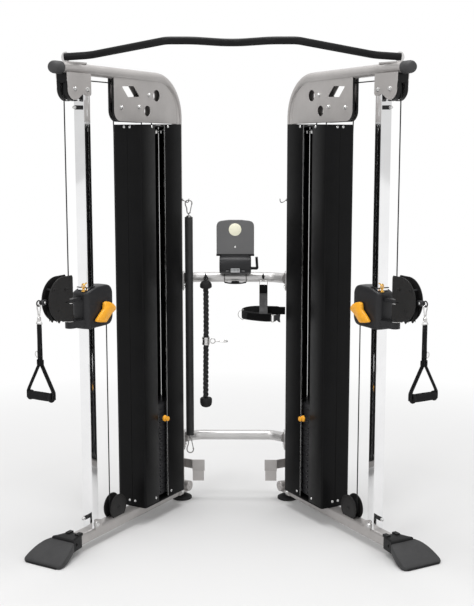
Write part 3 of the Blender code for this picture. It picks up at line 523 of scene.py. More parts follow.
def moulded(name, colour, rough, specular=0.35, grain=1500, depth=0.00012, spread=0.1):
    """Moulded plastic or rubber: fine spark-eroded grain, faint scuffs and dust."""
    n = Nodes(name)
    cloud = n.noise(14, 5)
    scuff = n.noise(60, 6, 0.7, (1, 1, 0.25))
    base = n.mix(n.ramp(cloud, 0.3, 0.7, 0, 1), tint(colour, 1 - spread), tint(colour, 1 + spread))
    base = n.mix(n.ramp(scuff, 0.6, 0.78, 0, 0.3), base, tint(colour, 1.7))
    gloss = n.ramp(scuff, 0.35, 0.75, rough - 0.06, rough + 0.1)
    cells = n.add("ShaderNodeTexVoronoi")
    cells.inputs["Scale"].default_value = grain
    n.link(n.spot(), cells.inputs["Vector"])
    skin = n.bump(cells.outputs["Distance"], depth, 0.6)
    return finish_material(n, base, gloss, skin, Metallic=0.0, Specular_IOR_Level=specular)


def bare_metal(name, colour, rough, stretch=(1, 1, 0.02), grain=500, depth=0.00001, spread=0.03):
    """Plated or polished metal: drawn lines, faint smears and finger marks."""
    n = Nodes(name)
    lines = n.noise(grain, 3, 0.6, stretch)
    smear = n.noise(7, 5, 0.6)
    base = n.mix(n.ramp(smear, 0.35, 0.7, 0, 1), tint(colour, 1 - spread), tint(colour, 1 + spread))
    gloss = n.maths("ADD", n.ramp(smear, 0.3, 0.75, rough * 0.7, rough * 1.5),
        n.ramp(lines, 0.3, 0.7, 0, rough * 0.35))
    fine = n.bump(lines, depth, 0.35)
    return finish_material(n, base, gloss, fine, Metallic=1.0)


def woven(name, colour, pitch=0.0016, specular=0.15):
    """Webbing: ribs of warp over weft, in UV metres."""
    n = Nodes(name)
    turned_uv = n.spot((1, 1, 1), "UV")
    ribs = n.add("ShaderNodeTexWave", wave_type="BANDS", bands_direction="X")
    ribs.inputs["Scale"].default_value = 0.314 / pitch
    rows = n.add("ShaderNodeTexWave", wave_type="BANDS", bands_direction="Y")
    rows.inputs["Scale"].default_value = 0.314 / (pitch * 0.8)
    for wave in (ribs, rows):
        wave.inputs["Distortion"].default_value = 0.4
        wave.inputs["Detail"].default_value = 1.0
        n.link(turned_uv, wave.inputs["Vector"])
    weave = n.maths("MULTIPLY", ribs.outputs["Fac"], rows.outputs["Fac"])
    fuzz = n.noise(1800, 3)
    # painted shade and highlight: the weave's gaps are painted darker and its raised ribs lighter, from the
    # same mask as its bump
    base = n.mix(n.ramp(weave, 0.0, 0.8, 0, 1), tint(colour, 0.55), tint(colour, 1.45))
    base = n.mix(n.ramp(n.noise(30, 4), 0.5, 0.75, 0, 0.35), base, tint(colour, 1.9))
    normal = n.bump(weave, 0.0005, 0.8, n.bump(fuzz, 0.0002, 0.5))
    return finish_material(n, base, None, normal, Roughness=0.85, Specular_IOR_Level=specular,
        Sheen_Weight=0.15, Sheen_Roughness=0.4)


def make_floor_material():
    n = Nodes("floor")
    place = n.add("ShaderNodeSeparateXYZ")
    n.link(n.coords.outputs["Object"], place.inputs[0])
    # painted light: between 1.5 m and 3.6 m from the point (0, -0.1) the floor fades from its grey into a
    # white glow, an emission, standing in for the light on the floor and backdrop
    far = n.maths("POWER", n.maths("ADD", n.maths("POWER", place.outputs[0], 2.0),
        n.maths("POWER", n.maths("SUBTRACT", place.outputs[1], -0.1), 2.0)), 0.5)
    grain = n.noise(220, 2)
    base = n.mix(n.ramp(grain, 0.3, 0.7, 0, 1), (0.715, 0.713, 0.712), (0.735, 0.733, 0.732))
    n.link(base, n.shader.inputs["Base Color"])
    n.shader.inputs["Roughness"].default_value = 0.7
    n.shader.inputs["Specular IOR Level"].default_value = 0.15
    n.link(n.bump(grain, 0.0001, 0.2), n.shader.inputs["Normal"])
    glow = n.add("ShaderNodeEmission")
    glow.inputs["Strength"].default_value = 1.0
    glow.inputs["Color"].default_value = (1, 1, 1, 1)
    join = n.add("ShaderNodeMixShader")
    n.link(n.ramp(far, 1.5, 3.6, 0, 1), join.inputs[0])
    n.link(n.shader.outputs[0], join.inputs[1])
    n.link(glow.outputs[0], join.inputs[2])
    n.link(join.outputs[0], n.tree.nodes["Material Output"].inputs["Surface"])
    return n.material


M = {
    "frame": painted("frame_silver", (0.43, 0.412, 0.402), 0.36, 0.55, 0.5, coat=0.12),
    # painted highlight: a lighter, glossier copy of the frame silver for the cross tubes, their plates and
    # the bar's end discs, standing in for the light they catch
    "rail": painted("frame_silver_lit_copy", (0.6, 0.59, 0.583), 0.34, 0.62, 0.5, coat=0.15),
    "shroud": painted("shroud_black", (0.0052, 0.0052, 0.0055), 0.34, 0.0, 0.085, grain=700,
                      depth=0.0001, spread=0.15),
    "bar": painted("bar_black", (0.0095, 0.0095, 0.0098), 0.42, 0.0, 0.1, spread=0.15),
    "plate": painted("plate_black", (0.022, 0.022, 0.024), 0.42, 0.0, 0.35, grain=400,
                     depth=0.00015, spread=0.18),
    "board": painted("board_grey", (0.135, 0.135, 0.137), 0.48, 0.0, 0.35, spread=0.05),
    "cream": painted("disc_cream", (0.96, 0.93, 0.73), 0.45, 0.0, 0.4, spread=0.05),
    "white": painted("screen_grey", (0.55, 0.56, 0.57), 0.35, 0.0, 0.5, spread=0.05),
    "hook": bare_metal("hook_steel", (0.36, 0.355, 0.35), 0.2),
    "chrome": bare_metal("chrome", (0.88, 0.88, 0.885), 0.045),
    "zinc": bare_metal("zinc_plate", (0.66, 0.66, 0.655), 0.2, (1, 1, 1), 700, 0.00003, 0.08),
    "steel": bare_metal("polished_steel", (0.62, 0.61, 0.6), 0.14, (1, 1, 0.1), 900),
    "brass": bare_metal("gilt_ring", (0.83, 0.5, 0.12), 0.18, (1, 1, 1), 700),
    "rubber": moulded("rubber_black", (0.018, 0.018, 0.0185), 0.62, 0.15, 900, 0.0002),
    "foot": moulded("foot_rubber", (0.049, 0.049, 0.05), 0.6, 0.2, 650, 0.0003),
    "sole": moulded("collar_rubber", (0.013, 0.013, 0.0135), 0.5, 0.14, 800, 0.0002),
    "housing": moulded("housing_black", (0.0165, 0.0165, 0.018), 0.38, 0.28, 1600, 0.0001),
    "cheek": moulded("cheek_black", (0.0165, 0.016, 0.0158), 0.46, 0.2, 1300, 0.00014),
    "wheel": moulded("wheel_black", (0.0068, 0.0068, 0.007), 0.34, 0.14, 2000, 0.00005),
    "amber": moulded("amber_plastic", (0.93, 0.42, 0.025), 0.34, 0.45, 1700, 0.00006, 0.05),
    "cable": moulded("cable_nylon", (0.01, 0.01, 0.0105), 0.38, 0.2, 1400, 0.0001),
    "webbing": woven("webbing_black", (0.006, 0.006, 0.0064), specular=0.08),
    "strap": woven("strap_grey", (0.105, 0.105, 0.106), 0.0014),
    "grip": moulded("grip_foam", (0.0115, 0.0115, 0.012), 0.7, 0.14, 1100, 0.0003),
    # painted highlight: a lighter copy of the grip foam for the long bar's sleeve, standing in for the
    # highlight along it
    "sleeve": moulded("grip_foam_lit_copy", (0.03, 0.03, 0.0305), 0.5, 0.22, 1100, 0.0003),
    "rope": woven("rope_black", (0.03, 0.03, 0.0305), 0.0013, 0.3),
    "padding": woven("cuff_fabric", (0.02, 0.02, 0.0205), 0.0011),
    # painted shade: a near-black, dull look for the bolt in the foot's side, standing in for the shade in its
    # recess
    "dark": moulded("painted_recess_shade", (0.004, 0.004, 0.004), 0.7, 0.1),
}

HANG_Y = 0.62 - MID
CROSS_Y = 0.68 - MID
HOLDER_Y = 0.63 - MID


# ---------------------------------------------------------------- the free rope
def triceps_rope():
    """Three twisted strands, hanging from their bell, with a clamp and a snap hook half way."""
    top, low, x0 = 1.121, 0.549, -0.145
    count = 150
    centre, strands = [], [[], [], []]
    for i in range(count + 1):
        share = i / count
        z = top + (low - top) * share
        x = x0 - 0.0015 * share + 0.0012 * sin(5.1 * share)
        y = HANG_Y + 0.0008 * sin(4.0 * share + 1)
        if i % 2 == 0:
            centre.append((x, y, z))
        for k in range(3):
            a = 2 * pi * (k / 3 + (top - z) / 0.069)
            strands[k].append((x + 0.0082 * cos(a), y + 0.0082 * sin(a), z))
    shells = [sweep(s, 0.0064, 12) for s in strands]
    rope = piece("rope_strands", shells, "rope", "triceps_rope", smooth=60, stands_for="triceps_rope")
    bell = turned([(0, 0.0), (0.0165, 0.0), (0.021, -0.002), (0.029, 0.003), (0.0305, 0.008),
        (0.0295, 0.02), (0.0235, 0.031), (0.015, 0.038), (0.008, 0.0415), (0, 0.042)], (x0, HANG_Y, 1.1203),
        UP, 40)
    loop = [(x0 + 0.0096 * cos(a), HANG_Y, 1.1705 + 0.0098 * sin(a)) for a in turns(32)]
    shank = spun([(0.006, 0), (0.0045, 0.003), (0.004, 0.006)], (x0, HANG_Y, 1.156), UP, 20)
    top_end = piece("rope_bell_top", [bell], "rubber", "triceps_rope", stands_for="rope_upper_end")
    top_ring = piece("rope_hanging_ring", [sweep(loop, 0.0024, 12, closed=True), shank], "cheek",
        "triceps_rope", slot="rubber")
    knob = turned([(0, 0), (0.012, 0.0008), (0.022, 0.005), (0.0285, 0.014), (0.031, 0.025), (0.031, 0.044),
        (0.027, 0.0495), (0.0175, 0.05), (0, 0.05)], (x0 - 0.0015, HANG_Y, 0.5007), UP, 40)
    low_end = piece("rope_ball_end", [knob], "rubber", "triceps_rope", stands_for="rope_lower_end")
    clamp = turned([(0.0148, 0), (0.0195, 0), (0.0205, 0.0015), (0.0205, 0.01), (0.019, 0.012),
        (0.019, 0.028), (0.0205, 0.03), (0.0205, 0.0385), (0.0195, 0.04), (0.0148, 0.04)],
        (x0 - 0.001, HANG_Y, 0.828), UP, 40)
    ring = [(-0.111 + 0.0125 * cos(a), HANG_Y, 0.847 + 0.0125 * sin(a)) for a in turns(28)]
    lug = box((-0.1275, -0.1205), (HANG_Y - 0.003, HANG_Y + 0.003), (0.841, 0.853))
    hook = snap_hook((-0.099, HANG_Y, 0.847), (1, 0, -0.02), (0, 1, 0.25), 0.066, 0.0026)
    metal = piece("rope_clamp", [clamp, lug, sweep(ring, 0.0026, 12, closed=True), *hook], "steel",
        "triceps_rope", smooth=30, stands_for="rope_snap_hook")


def snap_hook(start, along, up, long, r, wide=0.0105):
    """A pear-shaped snap hook that begins at start and runs long, with a round eye and a gate."""
    start, along, up = Vector(start), Vector(along).normalized(), Vector(up).normalized()
    flat = []
    for u, v in ((0.06, 0.35), (0.0, 0.0), (0.06, -0.35), (0.2, -0.48), (0.42, -0.55), (0.66, -0.88),
            (0.85, -0.88), (0.97, -0.5), (1.0, 0.0), (0.97, 0.5), (0.86, 0.88), (0.7, 0.9)):
        flat.append(start + along * u * (long - r) + up * v * wide)
    back = smooth_path(flat, 5)
    gate = [start + along * 0.06 * long + up * 0.35 * wide, start + along * 0.36 * long + up * 0.6 * wide,
        start + along * 0.7 * long + up * 0.88 * wide]
    nose = [start + along * u * long + up * v * wide for u, v in ((0.66, 0.86), (0.715, 0.9))]
    return [sweep(back, r, 12), sweep(smooth_path(gate, 5), r * 0.78, 10), sweep(nose, r * 1.25, 12),
        sweep([start + along * u * long + up * v * wide for u, v in ((0.04, 0.32), (0.12, 0.4))], r * 1.2,
        10)]


triceps_rope()


# ---------------------------------------------------------------- one tower
# a pulley's groove and rim radii and half its width
GROOVE, RIM, WHEEL_HALF = 0.0415, 0.048, 0.0095
PIVOT = -0.13
FRONT_WHEEL = (-0.0885, 2.093)
SWIVEL_WHEEL = (-0.1715, 1.2285)
GUIDE_WHEEL = (-0.223, 1.142)
REAR_WHEEL = (0.482, 2.077)
TURN_WHEELS = ((0.399, 2.021), (0.261, 2.017))
FOOT_WHEEL = (0.1805, 0.131)
CABLE = 0.0028
STACK = 0.482
CHEEK_IN, CHEEK_OUT = 0.0172, 0.0212
RING_S = -0.333
ARM_Z = 1.187
# the tower's tube: its radius, and how far back its upright stands
TUBE_R = 0.0254
UPRIGHT = 0.7415
# both faces of the plates bolted beside a tube
PLATE_IN, PLATE_OUT = 0.0281, 0.0318
SHROUD_HALF, SHROUD_FRONT, SHROUD_REAR = 0.0786, 0.3237, 0.6705
# weight plates: the lowest one's underside and the step between plates
STACK_LOW, PLATE_STEP = 0.108, 0.0275


def tube_z(s):
    return 2.1813 - 0.0335 * (s + 0.11)


def wheel_shells(centre):
    """A grooved pulley with a recessed web and ribs."""
    half = WHEEL_HALF
    groove = GROOVE - CABLE - 0.0002
    profile = mirrored([(0.013, -half + 0.0005), (0.016, -half + 0.0015), (0.03, -half + 0.003),
        (0.0345, -half + 0.002), (0.0365, -half), (RIM - 0.001, -half), (RIM, -half + 0.001),
        (RIM - 0.0005, -half + 0.002), (groove + 0.0012, -0.003), (groove, -0.0015)])
    shells = [turned(profile, (0, *centre), ACROSS, 64)]
    for k in range(6):
        a = pi * k / 3 + 0.3
        for t in (-half + 0.0012, half - 0.0032):
            far, near = 0.035, 0.015
            across = 0.0012
            base = [(near, -across), (far, -across), (far, across), (near, across)]
            outline = [(centre[0] + u * cos(a) - v * sin(a), centre[1] + u * sin(a) + v * cos(a))
                for u, v in base]
            shells.append(prism(outline, t, t + 0.002, "szt"))
    return shells


def hub_shells(centre):
    half = WHEEL_HALF
    profile = mirrored([(0.0062, -half), (0.0085, -half), (0.0088, -half + 0.001), (0.0105, -half + 0.0012),
        (0.0128, -half + 0.0008)])
    return [turned(profile, (0, *centre), ACROSS, 32)]


def both(outline, near, far):
    return [prism(outline, near, far, "szt"), prism(outline, -far, -near, "szt")]


def in_plane(points):
    """(s, z) points as (t, s, z) ones in the cable's plane."""
    return [(0, s, z) for s, z in points]


def weld_bead(path, r=0.0032):
    """A rippled fillet of weld along a path."""
    path = [Vector(p) for p in path]
    shares = [1 + 0.16 * sin(2.1 * i) for i in range(len(path))]
    return sweep(path, r, 8, taper=shares)


def ring_path(centre, axis, radius):
    axis, normal, side = square_to(axis)
    return [Vector(centre) + (normal * cos(a) + side * sin(a)) * radius for a in turns(44)]


class Tower:
    """One tower. It names its pieces, bodies and CAD nodes, and puts them on its side."""

    def __init__(self, tag, side):
        self.tag, self.side = tag, side

    def piece(self, name, shells, look, body="frame", face=0, stands_for=None, **how):
        """face is 1 or -1 for the inboard or outboard one of a pair."""
        end = {1: "_in", -1: "_out"}.get(face, "")
        how.setdefault("side", self.side)
        return piece(f"{name}_{self.tag}{end}", shells, look, self.on(body),
            stands_for=stands_for and f"{stands_for}_{self.tag}", **how)

    def on(self, body):
        return body if body == "frame" else f"{body}_{self.tag}"

    def bolts(self, name, spots, kind=hex_head, look="zinc", body="frame", face=0, **sizes):
        shells = [shell for place, axis in spots for shell in kind(place, axis, **sizes)]
        self.piece(name, shells, look, body, face, slot="chrome", smooth=28)

    def wheel(self, name, centre, body="frame", stands_for=None):
        self.piece(name, wheel_shells(centre), "wheel", body, stands_for=stands_for, smooth=30)
        self.piece(f"{name}_bearing", hub_shells(centre), "steel", body, smooth=30)


def frame_pieces(tower):
    corner = (0, UPRIGHT, tube_z(UPRIGHT))
    path = bend([(0, -0.152, tube_z(-0.152)), (0, 0.2, tube_z(0.2)), corner, (0, UPRIGHT, 0.0855)],
        [60.0, 0.19], 20)
    run = [p for i, p in enumerate(path) if i == 0 or (p - path[i - 1]).length > 1e-5]
    tower.piece("bent_tube", [sweep(run, TUBE_R, 48)], "frame", smooth=50, stands_for="frame_tube")
    # front bracket
    lobe = (-0.093, 2.093)
    cheek = [(0.02, 2.16), (-0.145, 2.164), (-0.1405, 2.115)]
    cheek += arc(lobe, 0.047, 168, 300, 14)
    cheek += [(-0.034, 2.0735), (-0.012, 2.066), (0.016, 2.066), (0.021, 2.075)]
    saddle = box((-0.03, 0.03), (-0.108, 0.0185), (2.1498, 2.1585))
    shells = both(cheek, PLATE_IN, PLATE_OUT)
    tower.piece("front_bracket", [*shells, saddle], "frame", bevel=0.0008)
    tower.piece("front_bracket_rod", [rod((-0.0305, -0.1385, 2.13), (0.0305, -0.1385, 2.13), 0.0045),
        rod((-PLATE_IN, *FRONT_WHEEL), (PLATE_IN, *FRONT_WHEEL), 0.006),
        rod((-0.0152, *REAR_WHEEL), (0.0152, *REAR_WHEEL), 0.006),
        rod((-0.02, *FOOT_WHEEL), (0.02, *FOOT_WHEEL), 0.006)], "zinc")
    for t in (-1, 1):
        spots = [((t * PLATE_OUT, -0.093, 2.093), (t, 0, 0)), ((t * PLATE_OUT, -0.007, 2.091), (t, 0, 0))]
        tower.bolts("front_bracket_bolts", spots, face=t)
    guard = [(-0.143, 2.122), (-0.143, 2.1)] + arc((-0.09, 2.0935), 0.053, 180, 292, 18)[1:]
    wall = strip(guard, 0.0028)
    lips = [prism(wall, 0.0085, 0.0278, "szt"), prism(wall, -0.0278, -0.0085, "szt")]
    cap = strip([(-0.143, 2.1595), (-0.143, 2.118)], 0.0028)
    lips.append(prism(cap, -0.0278, 0.0278, "szt"))
    tower.piece("front_pulley_guard", lips, "wheel", bevel=0.0006, smooth=45)
    # rear bracket
    sunk = 0.017
    centre = (UPRIGHT - 0.19, tube_z(UPRIGHT - 0.19) - 0.19)
    plate = [(0.206, tube_z(0.206) - sunk), (0.206, 2.004)]
    plate += arc((0.256, 2.004), 0.05, 184, 268, 12)
    plate += [(UPRIGHT - sunk, 1.9405)]
    plate += arc(centre, 0.19 - sunk, 0, 88, 22)
    slant = soften([(0.266, 2.113), (0.3135, 2.065), (0.407, 2.067), (0.36, 2.1155)], 0.005)
    holes = [disc((0.546, 2.075), 0.027, 40), disc((0.468, 2.002), 0.025, 40), slant]
    cutters = [prism(h, -0.03, 0.03, "szt") for h in holes]
    tower.piece("rear_bracket", both(plate, 0.0134, 0.0166), "frame", cut=cutters, bevel=0.0006)
    edge = [(0.204, tube_z(0.206) - sunk), (0.204, 2.004)]
    edge += arc((0.256, 2.004), 0.052, 180, 268, 14)
    edge += [(0.42, 1.947)]
    wall = strip(edge, 0.0035)
    trims = [prism(wall, 0.006, 0.0158, "szt"), prism(wall, -0.0158, -0.006, "szt")]
    tower.piece("rear_bracket_guard", trims, "wheel", bevel=0.0006, smooth=45)
    for t in (-1, 1):
        spots = [((t * 0.0166, s, z), (t, 0, 0)) for s, z in (REAR_WHEEL, *TURN_WHEELS)]
        tower.bolts("rear_bracket_bolts", spots, face=t, across=0.015)
    for i, spot in enumerate(TURN_WHEELS):
        tower.wheel(f"turning_pulley_{i + 1}", spot)
    beads = [weld_bead(ring_path((0, UPRIGHT, 0.0868), UP, 0.0262))]
    beads += [weld_bead([(t * 0.015, s, tube_z(s) - 0.0212)
        for s in [0.21 + 0.0045 * i for i in range(70)]], 0.0024) for t in (-1, 1)]
    beads += [weld_bead([(t * 0.0215, s, 2.1585) for s in [-0.106 + 0.0045 * i for i in range(28)]], 0.0024)
        for t in (-1, 1)]
    tower.piece("weld_beads", beads, "frame", smooth=70)
    # rubber cap on the tube's front end
    along = Vector((0, -1, 0.0335)).normalized()
    grip = [(0, 0.0004), (0.0262, 0.0004), (0.0274, 0.0016), (0.0276, 0.03), (0.0272, 0.044),
        (0.0252, 0.053), (0.0215, 0.0595), (0.015, 0.0635), (0.008, 0.0648), (0, 0.065)]
    tower.piece("tube_cap", [turned(grip, (0, -0.148, tube_z(-0.148) - 0.001), along, 48)], "foot",
        smooth=50, stands_for="tube_end_grip")


def base_pieces(tower):
    outline = rounded((-0.03, 0.03), (0.033, 0.086), 0.01, 6)
    slot = box((-0.0125, 0.0125), (0.1445, 0.2165), (0.079, 0.095))
    tower.piece("base_beam_tube", [prism(outline, -0.155, 0.802, "tzs")], "frame", cut=[slot], smooth=40,
        stands_for="base_beam")
    cap = [(0, 0), (0.0262, 0), (0.0262, 0.004), (0.0245, 0.007), (0.0215, 0.0085), (0.012, 0.0092),
        (0, 0.0092)]
    tower.piece("beam_end_cap", [turned(cap, (0, 0.7995, 0.0595), BACK, 40)], "frame", smooth=40)
    plate = soften([(-0.014, 0.074), (0.036, 0.074), (0.036, 0.112), (0.026, 0.118), (0.0, 0.126),
        (-0.014, 0.126)], 0.004)
    tower.piece("column_foot_plates", both(plate, 0.0279, PLATE_OUT), "frame", bevel=0.0008)
    for t in (-1, 1):
        tower.bolts("column_foot_bolts", [((t * PLATE_OUT, -0.002, 0.1015), (t, 0, 0))], face=t,
            across=0.02, high=0.0075)
        tower.bolts("foot_pulley_bolt", [((t * 0.0222, *FOOT_WHEEL), (t, 0, 0))], button_head, "cheek",
            face=t)
        tower.bolts("beam_cap_bolt", [((t * 0.0335, 0.713, 0.053), (t, 0, 0))], face=t)
    # lug behind the upright: an arm along t, then a plate square to the machine, folded at mid height
    y, side = 0.44, tower.side
    arm = [(0.2795, y + 0.0345), (0.2195, y), (0.156, y)]
    shells = []
    for spots, low_z, high_z in ((arm[:2], 0.1685, 0.2156), (arm[1:], 0.1568, 0.2156)):
        (xa, ya), (xb, yb) = spots
        shells.append(loft([[(side * xa, ya, z), (side * xb, yb, z), (side * xb, yb + 0.0045, z),
            (side * xa, ya + 0.0045, z)] for z in (low_z, high_z)]))
    shells.append(loft([[(side * xa, y - d, z), (side * 0.1595, y - d, z),
        (side * 0.1595, y - d + 0.0045, z), (side * xa, y - d + 0.0045, z)]
        for xa, d, z in ((0.2175, 0.014, 0.1076), (0.218, 0.002, 0.152), (0.2185, 0, 0.1568))]))
    tower.piece("rear_lug", shells, "frame", side=None, bevel=0.0007)
    stub = [(0, 0), (0.0262, 0), (0.0268, 0.001), (0.0268, 0.0235), (0.0255, 0.0258), (0.0235, 0.0262),
        (0.0225, 0.025), (0.009, 0.025), (0.007, 0.0275), (0, 0.0278)]
    tower.piece("beam_stub", [turned(stub, (0.027, 0.76, 0.074), ACROSS, 48),
        prism(rounded((0.69, 0.729), (0.036, 0.07), 0.004), 0.029, 0.0335, "szt")], "frame", bevel=0.0005,
        smooth=40)
    # covers of the bottom pulley
    for t in (-1, 1):
        dish = [(0, 0.003), (0.01, 0.003), (0.0115, 0.0016), (0.04, 0.0022), (0.052, 0.0018),
            (0.0555, 0.0006), (0.0575, 0.0006), (0.059, 0.0022), (0.0615, 0.0018), (0.062, 0.0),
            (0.0612, -0.0022), (0.058, -0.003), (0, -0.001)]
        tower.piece("pulley_cover", [turned(dish, (t * 0.02, *FOOT_WHEEL), (t, 0, 0), 64)], "cheek", face=t,
            smooth=30)
    tower.wheel("foot_pulley", FOOT_WHEEL, "bottom_wheel", "bottom_pulley")
    # front foot
    spots = ((-0.33, -0.12, 0.06, 0.0, 0.0125), (-0.327, -0.13, 0.07, 0.0, 0.0185),
        (-0.32, -0.1325, 0.0755, 0.0, 0.0225), (-0.3, -0.131, 0.0755, 0.0, 0.033),
        (-0.28, -0.129, 0.073, 0.003, 0.042), (-0.26, -0.1265, 0.0695, 0.01, 0.05),
        (-0.24, -0.1225, 0.0645, 0.017, 0.0575), (-0.22, -0.115, 0.058, 0.0235, 0.0655),
        (-0.205, -0.104, 0.052, 0.028, 0.072), (-0.193, -0.09, 0.0475, 0.03, 0.078))
    sections = []
    for s, low, high, under, top in spots:
        e = min(0.006, (top - under) * 0.3)
        sections.append([(low + e, s, under), (high - e, s, under), (high, s, under + e),
            (high, s, top - e), (high - e * 0.3, s, top - e * 0.3), (high - e, s, top), (low + e, s, top),
            (low + e * 0.3, s, top - e * 0.3), (low, s, top - e), (low, s, under + e)])
    tower.piece("foot_block", [loft(sections)], "foot", smooth=50, stands_for="front_foot")
    skirts = []
    for s, low, high, under, top in ((-0.196, -0.078, 0.0465, 0.0285, 0.0855),
            (-0.193, -0.079, 0.048, 0.027, 0.0895), (-0.18, -0.062, 0.0455, 0.027, 0.0925),
            (-0.126, -0.04, 0.039, 0.027, 0.0935), (-0.124, -0.039, 0.038, 0.028, 0.0925)):
        e = 0.006
        skirts.append([(low + e, s, under), (high - e, s, under), (high, s, under + e), (high, s, top - e),
            (high - e, s, top), (low + e, s, top), (low, s, top - e), (low, s, under + e)])
    ears = [box((t - 0.011, t + 0.011), (-0.15, -0.116), (0.086, 0.099)) for t in (-0.026, 0.027)]
    tower.piece("foot_collar", [loft(skirts), *ears], "sole", bevel=0.0015, smooth=35)
    lip = [(t, -0.3305 - 0.0006 * sin(pi * (t + 0.126) / 0.192), 0.0045)
        for t in (-0.1175, -0.07, -0.02, 0.03, 0.058)]
    tower.piece("foot_block_lip", [sweep(lip, 0.0042, 12)], "sole", smooth=60)
    # painted shade: this bolt head is near-black, standing in for the shade in its recess
    tower.bolts("foot_block_bolt", [((0.0425, -0.172, 0.06), (1, -0.2, 0))], button_head, "dark", r=0.0075)
    pad = [(0, 0), (0.05, 0), (0.0525, 0.002), (0.0525, 0.009), (0.05, 0.0125), (0.04, 0.018),
        (0.023, 0.0215), (0.015, 0.0225), (0.014, 0.0327), (0, 0.0327)]
    tower.piece("levelling_pad", [turned(pad, (0, 0.762, 0), UP, 56)], "rubber", smooth=40,
        stands_for="rear_foot")


def column_pieces(tower):
    body = prism(rounded((-0.0275, 0.0275), (-0.031, 0.016), 0.0026, 6), 0.0863, 2.1495)
    holes = [prism(disc((0, 0.24 + 0.1 * i), 0.006, 24), 0.005, 0.015, "tzs") for i in range(18)]
    tower.piece("column_bar", [body], "chrome", cut=holes, smooth=25, stands_for="column")
    shells, caps = [], []
    for z in (0.1466, 2.0144):
        shells.append(spun([(0.0085, 0), (0.0092, 0.001), (0.0092, 0.031), (0.0082, 0.0325)],
            (0.007, -0.031, z), (0, -1, 0), 32))
        caps.append(turned([(0, 0.032), (0.007, 0.032), (0.0074, 0.0335), (0.0074, 0.0425), (0.0056, 0.047),
            (0, 0.0478)], (0.007, -0.031, z), (0, -1, 0), 24))
    tower.piece("column_bumpers", shells, "rubber")
    tower.piece("bumper_screws", caps, "zinc")


def shroud_pieces(tower):
    r, thick = 0.01, 0.0025
    half, front, rear = SHROUD_HALF, SHROUD_FRONT, SHROUD_REAR
    low, top = 0.0934, 1.9389
    outer = [(-0.0009, front), *arc((-half + r, front + r), r, 270, 180, 8)]
    outer += arc((-half + r, rear - r), r, 180, 90, 8)
    outer += arc((half - r, rear - r), r, 90, 0, 8)
    outer += [(half, 0.5235), (half - 0.001, 0.5212), (half - 0.008, 0.521)]
    inner = [(0.0009, front), *arc((half - r, front + r), r, 270, 360, 8)]
    inner += [(half, 0.4375), (half - 0.001, 0.4398), (half - 0.008, 0.44)]
    tower.piece("shroud_outer", [sheet_quads(outer, -thick, low, top)], "shroud", smooth=30,
        stands_for="shroud_outer_shell")
    tower.piece("shroud_inner", [sheet_quads(inner, thick, low, top)], "shroud", smooth=30,
        stands_for="shroud_inner_shell")
    screws = []
    for z in (low + 0.022, top - 0.0105):
        screws += [((t, front, z), (0, -1, 0)) for t in (-0.016, 0.016)]
        screws += [((half, s, z), ACROSS) for s in (0.414, 0.547)]
        screws += [((-half, s, z), (-1, 0, 0)) for s in (0.36, 0.63)]
        screws += [((t, rear, z), BACK) for t in (-0.045, 0.045)]
    tower.bolts("shroud_screws", screws, button_head, r=0.0068, high=0.0038)
    trim = box((half - 0.0075, half - 0.0005), (0.5188, 0.5206), (low + 0.004, top - 0.004))
    stop = [spun([(0.0095, 0), (0.0105, 0.001), (0.0105, 0.013), (0.0095, 0.014)], (0.04, s, 1.896), UP, 24)
        for s in (0.5, 0.545)]
    tower.piece("slot_trim", [trim], "zinc")
    tower.piece("slot_stops", [*stop, box((0.03, 0.05), (0.488, 0.557), (1.9095, 1.915))], "zinc",
        bevel=0.0006, smooth=35)


